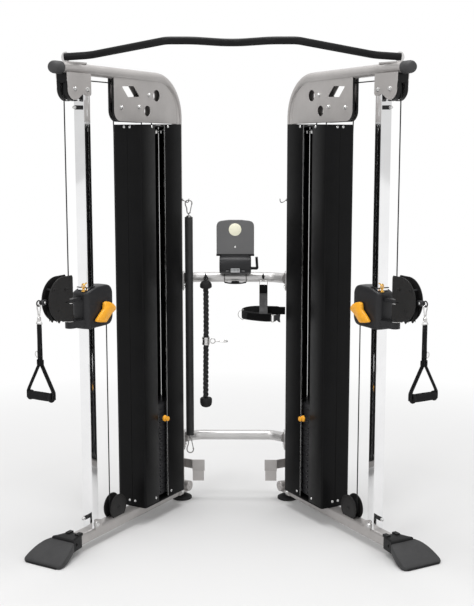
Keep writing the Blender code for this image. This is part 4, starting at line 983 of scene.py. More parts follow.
def stack_pieces(tower):
    """Plates, guide rods, moving pulley and selector pin."""
    pitch, low, half_t, half_s = PLATE_STEP, STACK_LOW, 0.0575, 0.135

    def plate(z, high):
        outline = rounded((-half_t, half_t), (STACK - half_s, STACK + half_s), 0.006, 3)
        e = 0.0016
        inner = rounded((-half_t + e, half_t - e), (STACK - half_s + e, STACK + half_s - e), 0.006 - e / 2, 3)
        return loft([[(t, s, z) for t, s in inner], [(t, s, z + e) for t, s in outline],
            [(t, s, z + high - e) for t, s in outline], [(t, s, z + high) for t, s in inner]])

    def row(first, count):
        shells = [plate(low + pitch * (first + i), pitch - 0.0009) for i in range(count)]
        holes = [prism(disc((STACK, low + pitch * (first + i) + 0.0139), 0.0052, 20), 0.02, 0.07, "szt")
            for i in range(count)]
        return shells, holes

    shells, holes = row(0, 14)
    tower.piece("plates_resting", shells, "plate", cut=holes, smooth=30, stands_for="weight_stack")
    body = "lifted"
    shells, holes = row(14, 3)
    tower.piece("plates_on_pin", shells, "plate", body, cut=holes[:1], smooth=30, stands_for="lifted_plates")
    high = low + 17 * pitch
    fork = soften([(STACK - 0.016, high - 0.004), (STACK + 0.016, high - 0.004),
        (STACK + 0.016, high + 0.104), (STACK - 0.016, high + 0.104)], 0.012)
    bridge = box((-0.0125, 0.0125), (STACK - 0.016, STACK + 0.016), (high - 0.002, high + 0.03))
    stem = spun([(0.009, 0), (0.0105, 0.002), (0.0105, high - 0.13), (0.014, high - 0.128),
        (0.014, high - 0.118)], (0, STACK, 0.128), UP, 24)
    tower.piece("pulley_fork", [*both(fork, 0.0105, 0.0135), bridge, stem], "zinc", body, bevel=0.0008)
    spot = (STACK, high + 0.0825)
    tower.wheel("lift_pulley", spot, body)
    for t in (-1, 1):
        tower.bolts("fork_bolt", [((t * 0.0135, *spot), (t, 0, 0))], body=body, face=t, across=0.014)
    # guide rods with springs at their feet and nuts at their tops
    rods, springs, metal, floor = [], [], [], []
    for s in (STACK - 0.1, STACK + 0.1):
        rods.append(rod((0, s, 0.094), (0, s, 1.93), 0.0095, 28))
        metal.append(turned([(0.0097, 0), (0.019, 0), (0.0195, 0.001), (0.0195, 0.011), (0.019, 0.012),
            (0.0097, 0.012)], (0, s, 1.903), UP, 32))
        metal += hex_head((0, s, 1.9325), UP, across=0.02, high=0.005)
        coil = [(0.0145 * cos(2 * pi * k / 16), s + 0.0145 * sin(2 * pi * k / 16), 0.0955 + 0.0105 * k / 48)
            for k in range(49)]
        springs.append(sweep(coil, 0.0017, 8))
    floor.append(prism(rounded((-SHROUD_HALF, SHROUD_HALF), (SHROUD_FRONT, SHROUD_REAR), 0.01, 5), 0.0863,
        0.0931))
    floor.append(prism(rounded((-0.075, 0.075), (0.3272, 0.667), 0.01, 5), 1.9269, 1.9329))
    tower.piece("guide_rod_pair", rods, "chrome", smooth=40, stands_for="guide_rods")
    tower.piece("rod_collars", metal, "zinc", smooth=30)
    tower.piece("rod_springs", springs, "steel", smooth=60)
    tower.piece("shroud_end_plates", floor, "shroud", bevel=0.0006)
    # selector pin
    start = (0.0185, STACK, 0.5069)
    shaft = [(0, 0), (0.003, 0.0005), (0.004, 0.002), (0.004, 0.066), (0, 0.066)]
    knob = [(0, 0.0655), (0.014, 0.066), (0.015, 0.067), (0.015, 0.0735), (0.0138, 0.0755), (0.01, 0.0785),
        (0.0095, 0.081), (0.0115, 0.085), (0.0125, 0.0885), (0.0105, 0.0915), (0.005, 0.092), (0, 0.092)]
    tower.piece("pin_knob", [turned(knob, start, ACROSS, 40)], "amber", "pin", smooth=35,
        stands_for="selector_pin")
    tower.piece("pin_shaft", [turned(shaft, start, ACROSS, 24)], "steel", "pin", smooth=35)


def carriage_pieces(tower):
    body = "carriage"
    low, top, front, rear, half = 1.032, 1.2175, -0.062, 0.152, 0.045
    sections = []

    def ring(z, inset):
        """One level of the housing: its front slopes back near the top, its rear is rounded off."""
        ahead = front + max(0.0, (z - (top - 0.024)) / 0.024) ** 1.4 * 0.07
        behind = rear
        for centre, radius, way in ((top - 0.045, 0.045, 1), (low + 0.04, 0.04, -1)):
            over = (z - centre) * way
            if over > 0:
                behind = rear - radius + sqrt(max(0.0, radius ** 2 - min(over, radius * 0.999) ** 2))
        lift = max(0.0, (low + 0.012 - z) / 0.012)
        ahead += 0.006 * lift ** 2
        wide = half - inset
        ahead, behind = ahead + inset, behind - inset
        nose = min(0.024, (behind - ahead) * 0.3)
        tail = min(0.036, (behind - ahead) * 0.3, wide * 0.9)
        plan = arc((-wide + nose, ahead + nose), nose, 180, 270, 7)
        plan += arc((wide - nose, ahead + nose), nose, 270, 360, 7)
        plan += arc((wide - tail, behind - tail), tail, 0, 90, 7)
        plan += arc((-wide + tail, behind - tail), tail, 90, 180, 7)
        return [(t, s, z) for t, s in plan]

    levels = [(0.0, 0.006), (0.0015, 0.003), (0.004, 0.001), (0.007, 0.0)]
    sections += [ring(low + z, inset) for z, inset in levels]
    sections += [ring(low + 0.007 + (top - low - 0.014) * k / 26, 0.0) for k in range(1, 26)]
    sections += [ring(top - z, inset) for z, inset in reversed(levels)]
    shell = loft(sections)
    bore = prism(rounded((-0.0288, 0.0288), (-0.0322, 0.0176), 0.004, 3), low - 0.02, top + 0.02)
    tower.piece("carriage_shell", [shell], "housing", body, cut=[bore], smooth=42,
        stands_for="carriage_housing")
    collar = rounded((-0.033, 0.033), (-0.036, 0.0215), 0.006, 5)
    inner = rounded((-0.028, 0.028), (-0.0315, 0.0165), 0.0042, 5)
    collars = [prism(collar, z, z + 0.0035) for z in (low - 0.0025, top - 0.0015)]
    tower.piece("carriage_wipers", collars, "rubber", body, cut=[prism(inner, low - 0.02, top + 0.02)],
        bevel=0.0006)
    # ears, latch tab and stop
    ears = []
    for z0, z1, wide in ((1.047, 1.078, 0.0245), (1.163, 1.179, 0.0168)):
        spread = 0.01 if wide > 0.02 else 0.0
        ear = [(wide + spread, front + 0.012), (-wide - spread, front + 0.012)]
        ear += arc((0, PIVOT + wide - 0.0165), wide, 180, 360, 26)
        ears.append(prism(ear, z0, z1))
    tab = soften([(-0.1, 1.076), (-0.112, 1.076), (-0.112, 1.098), (-0.108, 1.104), (-0.1, 1.104)], 0.002)
    ears.append(prism(tab, -0.006, 0.006, "szt"))
    boss = spun([(0.0075, 0), (0.0085, 0.002), (0.0085, 0.01)], (0, 0.139, low - 0.002), UP, 24)
    tower.piece("carriage_ears", [*ears, boss], "housing", body, bevel=0.0016, segments=3)
    blade = [prism(disc((0, PIVOT), 0.0215, 32), 1.0785, 1.0805),
        prism(disc((0, PIVOT), 0.0205, 32), 1.16, 1.1625)]
    tower.piece("pivot_washers", blade, "steel", body, smooth=30)
    # spring pin with its ring
    pin = [spun([(0.0095, 0), (0.0095, 0.003), (0.006, 0.0045), (0.0055, 0.01), (0.0035, 0.0125)],
        (0.0155, -0.0455, top - 0.015), UP, 28)]
    for tilt, r in ((0.0, 0.012), (0.5, 0.0105)):
        loop = [(0.0155 + r * cos(a) * cos(0.35 + tilt), -0.0455 - r * cos(a) * sin(0.35 + tilt),
            top + 0.0085 + r * sin(a)) for a in turns(32)]
        pin.append(sweep(loop, 0.0021, 12, closed=True))
    tower.piece("spring_pin_ring", pin, "brass", body, smooth=40)
    # the amber lever
    start = half + 0.0008
    outline = soften([(0.046, 1.142), (0.062, 1.1465), (0.09, 1.14), (0.114, 1.129), (0.13, 1.114),
        (0.1325, 1.101), (0.106, 1.088), (0.08, 1.069), (0.058, 1.051), (0.02, 1.056), (-0.019, 1.065),
        (0.01, 1.09), (0.042, 1.113)], 0.006)
    paddle = []
    for t, inset in ((start + 0.0045, 0.0035), (start + 0.006, 0.001), (start + 0.008, 0.0),
            (start + 0.015, 0.0), (start + 0.018, 0.0014), (start + 0.0195, 0.0042)):
        middle = (0.068, 1.099)
        far = max(sqrt((s - middle[0]) ** 2 + (z - middle[1]) ** 2) for s, z in outline)
        share = 1 - inset / far * 1.8
        paddle.append([(t, middle[0] + (s - middle[0]) * share, middle[1] + (z - middle[1]) * share)
            for s, z in outline])
    hub = spun([(0.0175, 0), (0.018, 0.001), (0.017, 0.012)], (start - 0.0003, 0.098, 1.112), ACROSS, 40)
    tower.piece("release_paddle", [loft(paddle), hub], "amber", "lever", smooth=50,
        stands_for="release_lever")


def arm_pieces(tower):
    body = "arm"
    centre, r, edge = (-0.19, ARM_Z), 0.1, -0.125
    outline = [(edge, 1.096), (edge, 1.15), (edge - 0.0265, 1.159), (edge - 0.0265, 1.183), (edge, ARM_Z),
        (edge, 1.278), (edge - 0.006, 1.287)]
    outline += arc(centre, r, 86, 238, 46)
    outline += [(-0.2415, 1.0925), (-0.236, 1.0985), (-0.228, 1.0875)]
    outline += [(-0.2225, 1.0845), (-0.2145, 1.094), (-0.206, 1.0925), (-0.198, 1.0875), (-0.15, 1.0872),
        (-0.137, 1.09)]
    holes = [prism(disc(p, 0.0042, 20), 0.01, 0.03, "szt") for p in ((-0.18, 1.229), (-0.223, 1.142))]
    slit = prism(rounded((-0.177, -0.137), (1.169, 1.1722), 0.0014, 3), 0.01, 0.03, "szt")
    shells = both(outline, CHEEK_IN, CHEEK_OUT)
    tower.piece("arm_cheeks", shells, "cheek", body, cut=[*holes, slit], bevel=0.0011, smooth=35,
        stands_for="swivel_arm")
    rim = [centre[0] + (r - 0.0022) * cos(radians(a)) for a in range(92, 237, 4)]
    heights = [centre[1] + (r - 0.0022) * sin(radians(a)) for a in range(92, 237, 4)]
    beads = []
    for t in (-1, 1):
        path = [(t * (CHEEK_OUT - 0.0002), s, z) for s, z in zip(rim, heights)]
        beads.append(sweep(path, 0.0016, 10))
    tower.piece("arm_rims", beads, "cheek", body, smooth=60)
    barrel = spun([(0.015, 0), (0.0185, 0.0015), (0.0185, 0.079), (0.015, 0.0808)], (0, PIVOT, 1.0806), UP,
        40)
    web = [box((-CHEEK_IN, CHEEK_IN), (-0.15, -0.144), (1.09, 1.156)),
        rod((-CHEEK_IN, -0.255, 1.236), (CHEEK_IN, -0.255, 1.236), 0.005),
        rod((-CHEEK_IN, *SWIVEL_WHEEL), (CHEEK_IN, *SWIVEL_WHEEL), 0.006),
        rod((-CHEEK_IN, *GUIDE_WHEEL), (CHEEK_IN, *GUIDE_WHEEL), 0.006)]
    tower.piece("arm_barrel", [barrel, *web], "housing", body, smooth=40)
    tower.wheel("swivel_pulley_wheel", SWIVEL_WHEEL, "swivel_wheel", "swivel_pulley")
    tower.wheel("guide_pulley_wheel", GUIDE_WHEEL, body)
    spots = [((t * CHEEK_OUT, s, z), (t, 0, 0)) for t in (-1, 1)
        for s, z in (SWIVEL_WHEEL, GUIDE_WHEEL, (-0.255, 1.236))]
    tower.bolts("arm_bolts", spots, button_head, "cheek", body, r=0.0075, high=0.0028)


def handle_pieces(tower):
    # cable stop and ring
    body = "cable_end"
    stop = soften([(-0.279, 1.1815), (-0.279, 1.1925), (-0.29, 1.1985), (-0.308, 1.199), (-0.319, 1.1925),
        (-0.3235, ARM_Z), (-0.319, 1.181), (-0.308, 1.1745), (-0.29, 1.175)], 0.004)
    sections = []
    for t, share in ((-0.01, 0.8), (-0.0085, 0.95), (-0.006, 1.0), (0.006, 1.0), (0.0085, 0.95),
            (0.01, 0.8)):
        sections.append([(t, -0.301 + (s + 0.301) * share, ARM_Z + (z - ARM_Z) * share) for s, z in stop])
    tower.piece("cable_stop", [loft(sections)], "housing", body, smooth=40, stands_for="cable_end")
    rivet = [turned([(0, 0), (0.0062, 0), (0.0058, 0.0012), (0.004, 0.002), (0, 0.0022)],
        (t * 0.0098, -0.302, ARM_Z), (t, 0, 0), 24) for t in (-1, 1)]
    tower.piece("cable_stop_rivets", rivet, "zinc", body)
    ring = [(0, RING_S + 0.012 * cos(a), ARM_Z + 0.012 * sin(a)) for a in turns(36)]
    tower.piece("cable_ring", [sweep(ring, 0.003, 14, closed=True)], "cheek", body, smooth=60)
    # snap hook with its swivel
    body = "hook"
    hook = snap_hook((0, RING_S, 1.133), UP, ACROSS, 0.051, 0.0027, 0.0105)
    swivel = turned([(0, 0), (0.0065, 0), (0.0085, 0.002), (0.009, 0.006), (0.0088, 0.014), (0.007, 0.0185),
        (0.0045, 0.0215), (0.004, 0.026), (0, 0.0265)], (0, RING_S, 1.109), UP, 32)
    eye = [(-0.0135, RING_S, 1.103), (-0.0135, RING_S, 1.0985), (0.0135, RING_S, 1.0985),
        (0.0135, RING_S, 1.103), (0.007, RING_S, 1.112), (-0.007, RING_S, 1.112)]
    loop = smooth_path([*eye, eye[0]], 5)[:-1]
    tower.piece("snap_hook", [*hook, swivel, sweep(loop, 0.0024, 12, closed=True)], "steel", body,
        smooth=45, stands_for="handle_carabiner")
    # webbing: looped through the eye, down to the D-ring, and split into two legs
    body = "handle"
    s = RING_S
    shells = []
    strap = [(0, s - 0.0016, 1.0955), (0, s - 0.002, 1.075), (0, s - 0.0016, 1.03), (0, s - 0.0024, 0.98),
        (0, s - 0.002, 0.935), (0, s - 0.001, 0.915)]
    back = [(0, s + 0.0016, 1.0955), (0, s + 0.0022, 1.07), (0, s + 0.0022, 1.02), (0, s + 0.0028, 0.975),
        (0, s + 0.0026, 0.935), (0, s + 0.001, 0.915)]
    for path in (strap, back):
        shells.append(ribbon(smooth_path(path, 6), 0.0235, 0.0019, ACROSS))
    for t in (-1, 1):
        for gap in (-0.0014, 0.0014):
            leg = [(t * 0.003, s + gap, 0.95), (t * 0.0055, s + gap, 0.925), (t * 0.018, s + gap, 0.9005),
                (t * 0.042, s + gap, 0.856), (t * 0.067, s + gap, 0.809), (t * 0.0705, s + gap, 0.795),
                (t * 0.0705, s + gap, 0.77)]
            shells.append(ribbon(smooth_path(leg, 6), 0.0215, 0.002, (0.0, 1, 0)))
    z = 0.93
    wrap = ribbon(smooth_path([(-0.015, s - 0.0045, z), (0, s - 0.0062, z), (0.015, s - 0.0045, z),
        (0.016, s, z), (0.015, s + 0.0045, z), (0, s + 0.0062, z), (-0.015, s + 0.0045, z), (-0.016, s, z),
        (-0.015, s - 0.0045, z)], 5), 0.024, 0.0016, UP)
    tower.piece("handle_webbing", [*shells, wrap], "webbing", body, smooth=60, stands_for="handle")
    d_ring = [(-0.011, s - 0.005, 0.979), (-0.011, s - 0.005, 0.953), (-0.019, s - 0.0052, 0.956),
        (-0.0225, s - 0.0054, 0.966), (-0.019, s - 0.0052, 0.976)]
    tower.piece("handle_d_ring", [sweep(smooth_path([*d_ring, d_ring[0]], 4)[:-1], 0.0017, 10,
        closed=True)], "steel", body, smooth=60)
    stitches = []
    for z0 in (1.068, 0.99):
        for k in range(5):
            z = z0 + 0.0042 * k
            for t in (-0.0085, 0.0085):
                stitches.append(rod((t, s - 0.0034, z), (t, s - 0.0034, z + 0.0026), 0.00045, 6))
    tower.piece("handle_stitches", stitches, "board", body, slot="webbing")
    # hand grip: flared ends and fine rings
    profile = [(0, 0), (0.012, 0), (0.021, 0.0012), (0.0222, 0.004), (0.0215, 0.009), (0.0185, 0.014)]
    count = 34
    for i in range(count + 1):
        h = 0.015 + (0.127 - 0.03) * i / count
        swell = 0.0006 * sin(pi * i / count)
        profile += [(0.0176 + swell, h), (0.0183 + swell, h + 0.0009), (0.0183 + swell, h + 0.0018)]
    profile += [(0.0185, 0.1145), (0.0215, 0.118), (0.0222, 0.123), (0.021, 0.1258), (0.012, 0.127),
        (0, 0.127)]
    tower.piece("hand_grip", [turned(profile, (-0.0635, s, 0.781), ACROSS, 40)], "grip", body, smooth=35)


def cable_pieces(tower):
    """Every run of the cable. Runs between two bodies ride on neither of them."""
    def run(name, path, body="frame", stretch=None, stands_for=None):
        thing = tower.piece(name, [sweep(path, CABLE, 10)], "cable", body, stands_for=stands_for, smooth=60,
            ride=stretch is None)
        if stretch:
            a, b, start, end = stretch
            tower.on(a)
            tower.on(b)
            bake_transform(thing)

    def straight(a, b, steps=24):
        a, b = Vector(a), Vector(b)
        return [a + (b - a) * k / steps for k in range(steps + 1)]

    g = GROOVE
    over = in_plane(arc(FRONT_WHEEL, g, 180, 88.4, 16))
    over += in_plane(arc(REAR_WHEEL, g, 88.4, 0, 16))
    run("cable_over_top", over)
    back = in_plane(arc(TURN_WHEELS[0], g, 0, 88, 14) + arc(TURN_WHEELS[1], g, 88, 180, 14))
    back += in_plane([(0.2195, 1.96)] + [(0.222, z) for z in (1.9, 1.5, 1.0, 0.5, 0.2)])
    back += in_plane(arc(FOOT_WHEEL, g, 0, -180, 24))
    run("cable_down_front", back)
    low, high = (0, PIVOT, 1.2285), (0, PIVOT, 2.093)
    run("cable_to_arm", straight(high, low), stretch=("frame", "carriage", high, low),
        stands_for="cable_front_run")
    low, high = (0, 0.139, 0.131), (0, 0.139, 1.04)
    run("cable_to_carriage", straight(low, high), stretch=("frame", "carriage", low, high),
        stands_for="cable_rear_run")
    lift = (STACK, STACK_LOW + 17 * PLATE_STEP + 0.0825)
    run("cable_lift_bottom", in_plane(arc(lift, g, 0, -180, 20)), "lifted")
    for name, s, wheel_spot in (("rear", STACK + g, REAR_WHEEL), ("front", STACK - g, TURN_WHEELS[0])):
        high, low = (0, s, wheel_spot[1]), (0, s, lift[1])
        run(f"cable_lift_{name}", straight(high, low), stretch=("frame", "lifted", high, low))
    under = in_plane(arc(SWIVEL_WHEEL, g, 0, -90, 12) + [(-0.2, ARM_Z)])
    run("cable_round_swivel", under, "arm")
    near, far = (0, -0.199, ARM_Z), (0, -0.285, ARM_Z)
    run("cable_pull_run", straight(near, far, 40), "arm", ("arm", "cable_end", near, far))


for tower in [Tower(tag, side) for tag, side in SIDES]:
    for make in (frame_pieces, base_pieces, column_pieces, shroud_pieces, stack_pieces, carriage_pieces,
            arm_pieces, handle_pieces, cable_pieces):
        make(tower)
    tower.wheel("front_pulley_wheel", FRONT_WHEEL, "front_wheel", "front_top_pulley")
    tower.wheel("rear_pulley_wheel", REAR_WHEEL, "rear_wheel", "rear_top_pulley")


# ---------------------------------------------------------------- pieces the towers share
def pull_up_bar():
    half = [(-0.728, -0.049, 2.23), (-0.614, -0.058, 2.237), (-0.272, -0.263, 2.285),
        (-0.163, -0.263, 2.285), (0, -0.117, 2.2838)]
    corners = [(x, y - MID, z) for x, y, z in half]
    corners += [(-x, y, z) for x, y, z in reversed(corners[:-1])]
    path = bend(corners, [0.12, 0.07, 0.09, 0.09, 0.09, 0.07, 0.12], 10)
    piece("chin_bar", [sweep(path, 0.0162, 32)], "bar", smooth=50, stands_for="pull_up_bar")
    for tag, side in SIDES:
        end = Vector((side * 0.724, -0.027 - MID, 2.23))
        profile = [(0, 0), (0.022, 0), (0.0238, 0.0015), (0.0238, 0.0045), (0.022, 0.006), (0, 0.006)]
        dish = turned(profile, end, (side * 0.5, -0.866, 0), 48)
        piece(f"bar_end_disc_{tag}", [dish], "rail", smooth=30)
        saddle = prism(rounded((-0.016, 0.016), (-0.12, 0.016), 0.005), 2.201, 2.209)
        piece(f"bar_saddle_{tag}", [saddle], "frame", side=side, bevel=0.001)


def cross_tubes():
    for name, z, node in (("rail_upper", 1.168, "upper_cross_tube"),
            ("rail_lower", 0.337, "lower_cross_tube")):
        inner = 0.2555
        bow = 0.048
        path = bend([(-inner, CROSS_Y - bow, z), (-inner + 0.06, CROSS_Y, z), (inner - 0.06, CROSS_Y, z),
            (inner, CROSS_Y - bow, z)], [0.09, 0.09], 12)
        piece(name, [sweep(path, TUBE_R, 40)], "rail", smooth=50, stands_for=node)
        plates, heads = [], []
        for side in (-1, 1):
            low, high = sorted((side * 0.255, side * 0.2615))
            outline = rounded((CROSS_Y - 0.084, CROSS_Y - 0.004), (z - 0.058, z + 0.034), 0.008)
            plates.append(prism(outline, low, high, "szt"))
            for y in (CROSS_Y - 0.064, CROSS_Y - 0.024):
                heads += hex_head((side * 0.255, y, z - 0.043), (-side, 0, 0), 0.011, 0.0045)
        piece(f"{name}_plates", plates, "rail", bevel=0.0008)
        piece(f"{name}_bolts", heads, "zinc", smooth=28)
        beads = [weld_bead(ring_path((side * 0.254, CROSS_Y - bow, z), (1, 0.5 * side, 0), 0.0262), 0.0024)
            for side in (-1, 1)]
        piece(f"{name}_welds", beads, "frame", smooth=70)
    pegs = []
    for x in (-0.145, 0.145):
        pegs.append(rod((x, CROSS_Y - 0.024, 1.1712), (x, HANG_Y - 0.02, 1.1712), 0.0032, 16))
        pegs.append(turned([(0, 0), (0.0042, 0.002), (0.0066, 0.008), (0.0068, 0.012), (0.0052, 0.019),
            (0.0024, 0.027), (0, 0.03)], (x, HANG_Y - 0.0235, 1.1705), UP, 24))
    piece("rail_pegs", pegs, "rubber", smooth=60)
    for tag, side in SIDES:
        spots = [(side * 0.266, HANG_Y + 0.012, 1.566), (side * 0.254, HANG_Y + 0.006, 1.562),
            (side * 0.242, HANG_Y, 1.5545), (side * 0.234, HANG_Y - 0.004, 1.5535),
            (side * 0.2285, HANG_Y - 0.008, 1.559), (side * 0.227, HANG_Y - 0.01, 1.572)]
        hooks = [sweep(smooth_path(spots, 6), 0.0023, 12)]
        hooks.append(spun([(0.0065, 0), (0.0065, 0.003)], (side * 0.262, HANG_Y + 0.011, 1.565),
            (-side, -0.4, 0), 20))
        piece(f"upright_hook_{tag}", hooks, "hook", smooth=50)


def placard():
    x0, z0 = 0.004, 1.2385
    rim = [(0.036, 0.08), (0.043, 0.0785), (0.0455, 0.0755), (0.0472, 0.06), (0.0482, 0.052)]
    drum = [(r, -h) for r, h in rim] + [(0.0486, 0)] + rim[::-1]
    window = prism(rounded((x0 - 0.0245, x0 + 0.0245), (1.2015, 1.2265), 0.003, 4), HOLDER_Y - 0.07,
        HOLDER_Y - 0.036, "tzs")
    piece("holder_drum", [spun(drum, (x0, HOLDER_Y, z0), ACROSS, 72)], "housing", cut=[window], smooth=24,
        stands_for="placard_holder")
    seat = box((x0 - 0.07, x0 + 0.07), (HOLDER_Y - 0.012, HOLDER_Y + 0.012), (1.27, 1.289))
    rear = box((x0 - 0.048, x0 + 0.048), (HOLDER_Y + 0.02, CROSS_Y + 0.034), (1.19, 1.225))
    ridge = [sweep([(x0 - 0.074, HOLDER_Y - 0.0385, 1.2635), (x0 + 0.074, HOLDER_Y - 0.0385, 1.2635)],
        0.0022, 12)]
    piece("holder_seat", [seat, rear, *ridge], "housing", bevel=0.002, smooth=35)
    # wire bail under the rail, with its thumb tab
    y = CROSS_Y - 0.034
    bail = bend([(x0 - 0.0545, y + 0.006, 1.2), (x0 - 0.0555, y, 1.144), (x0 + 0.0555, y, 1.144),
        (x0 + 0.0545, y + 0.006, 1.2)], [0.005, 0.005], 6)
    lip = [(x0 + x, y - 0.0015, z) for x, z in ((-0.0545, 1.146), (-0.03, 1.1415), (0, 1.14),
        (0.03, 1.1415), (0.0545, 1.146))]
    tab = prism(soften([(x0 - 0.024, 1.142), (x0 + 0.024, 1.142), (x0 + 0.017, 1.153), (x0 - 0.017, 1.153)],
        0.004), y - 0.005, y + 0.001, "tzs")
    piece("holder_bail", [sweep(bail, 0.0017, 12), sweep(smooth_path(lip, 5), 0.0036, 14), tab], "wheel",
        bevel=0.0008, slot="housing_plastic", smooth=40)
    screen = prism(rounded((x0 - 0.0225, x0 + 0.0225), (1.2035, 1.2245), 0.002, 3), HOLDER_Y - 0.0385,
        HOLDER_Y - 0.0355, "tzs")
    lines = [prism(rounded((x - 0.0012, x + 0.0012), (1.208, 1.22), 0.0006, 2), HOLDER_Y - 0.0392,
        HOLDER_Y - 0.038, "tzs") for x in [x0 - 0.017 + 0.0068 * i for i in range(6)]]
    piece("holder_window", [screen], "white")
    piece("holder_window_marks", lines, "cheek")
    tabs = [prism(soften([(x0 + x - 0.007 * w, 1.207), (x0 + x + 0.007 * w, 1.211),
        (x0 + x + 0.008 * w, 1.215), (x0 + x - 0.007 * w, 1.214)], 0.0015), HOLDER_Y - 0.048,
        HOLDER_Y - 0.037, "tzs") for x, w in ((-0.04, 1), (0.04, -1))]
    piece("holder_tabs", tabs, "board", bevel=0.0005, slot="housing_plastic")
    hook = bend([(x0 + 0.07, HOLDER_Y, 1.22), (x0 + 0.111, HOLDER_Y, 1.22), (x0 + 0.107, HOLDER_Y, 1.277)],
        [0.004], 6)
    piece("holder_side_hook", [ribbon(hook, 0.026, 0.0135, BACK)], "wheel", bevel=0.0015,
        slot="housing_plastic", smooth=40)
    # board
    low, crown, half = 1.289, 1.4655, 0.0945
    shoulder = crown - 0.0085
    radius = (half * half + (crown - shoulder) ** 2) / (2 * (crown - shoulder))
    spread = degrees(acos(sqrt(1 - (half / radius) ** 2)))
    top = arc((x0, crown - radius), radius, 90 - spread, 90 + spread, 3)
    board = soften([(x0 - half, low), (x0 + half, low), *top], 0.03, 6)
    board = [(x, z) if z > low + 0.03 else (x0 + half * (1 if x > x0 else -1), low) for x, z in board]
    clean = [q for i, q in enumerate(board) if q != board[i - 1]]
    face = [(x0 + (x - x0) * 0.965, low + 0.005 + (z - low) * 0.95) for x, z in clean]
    piece("board_panel", [prism(clean, HOLDER_Y - 0.0075, HOLDER_Y + 0.008, "tzs")], "board", bevel=0.0014,
        segments=3, stands_for="placard_panel")
    piece("board_face", [prism(face, HOLDER_Y - 0.0083, HOLDER_Y - 0.007, "tzs")], "board", bevel=0.0005)
    base = box((x0 - half - 0.001, x0 + half + 0.001), (HOLDER_Y - 0.01, HOLDER_Y + 0.009),
        (low - 0.006, low + 0.0035))
    piece("board_foot", [base], "wheel", bevel=0.001, slot="housing_plastic")
    piece("board_disc", [spun([(0.03, 0), (0.0315, -0.0008), (0.0315, -0.003)],
        (x0 - 0.001, HOLDER_Y - 0.0105, 1.4165), (0, -1, 0), 56)], "cream", smooth=30)
    piece("board_dot", button_head((x0 - 0.001, HOLDER_Y - 0.0083, 1.3285), (0, -1, 0), 0.0058, 0.0022),
        "zinc", slot="placard_paint", smooth=30)


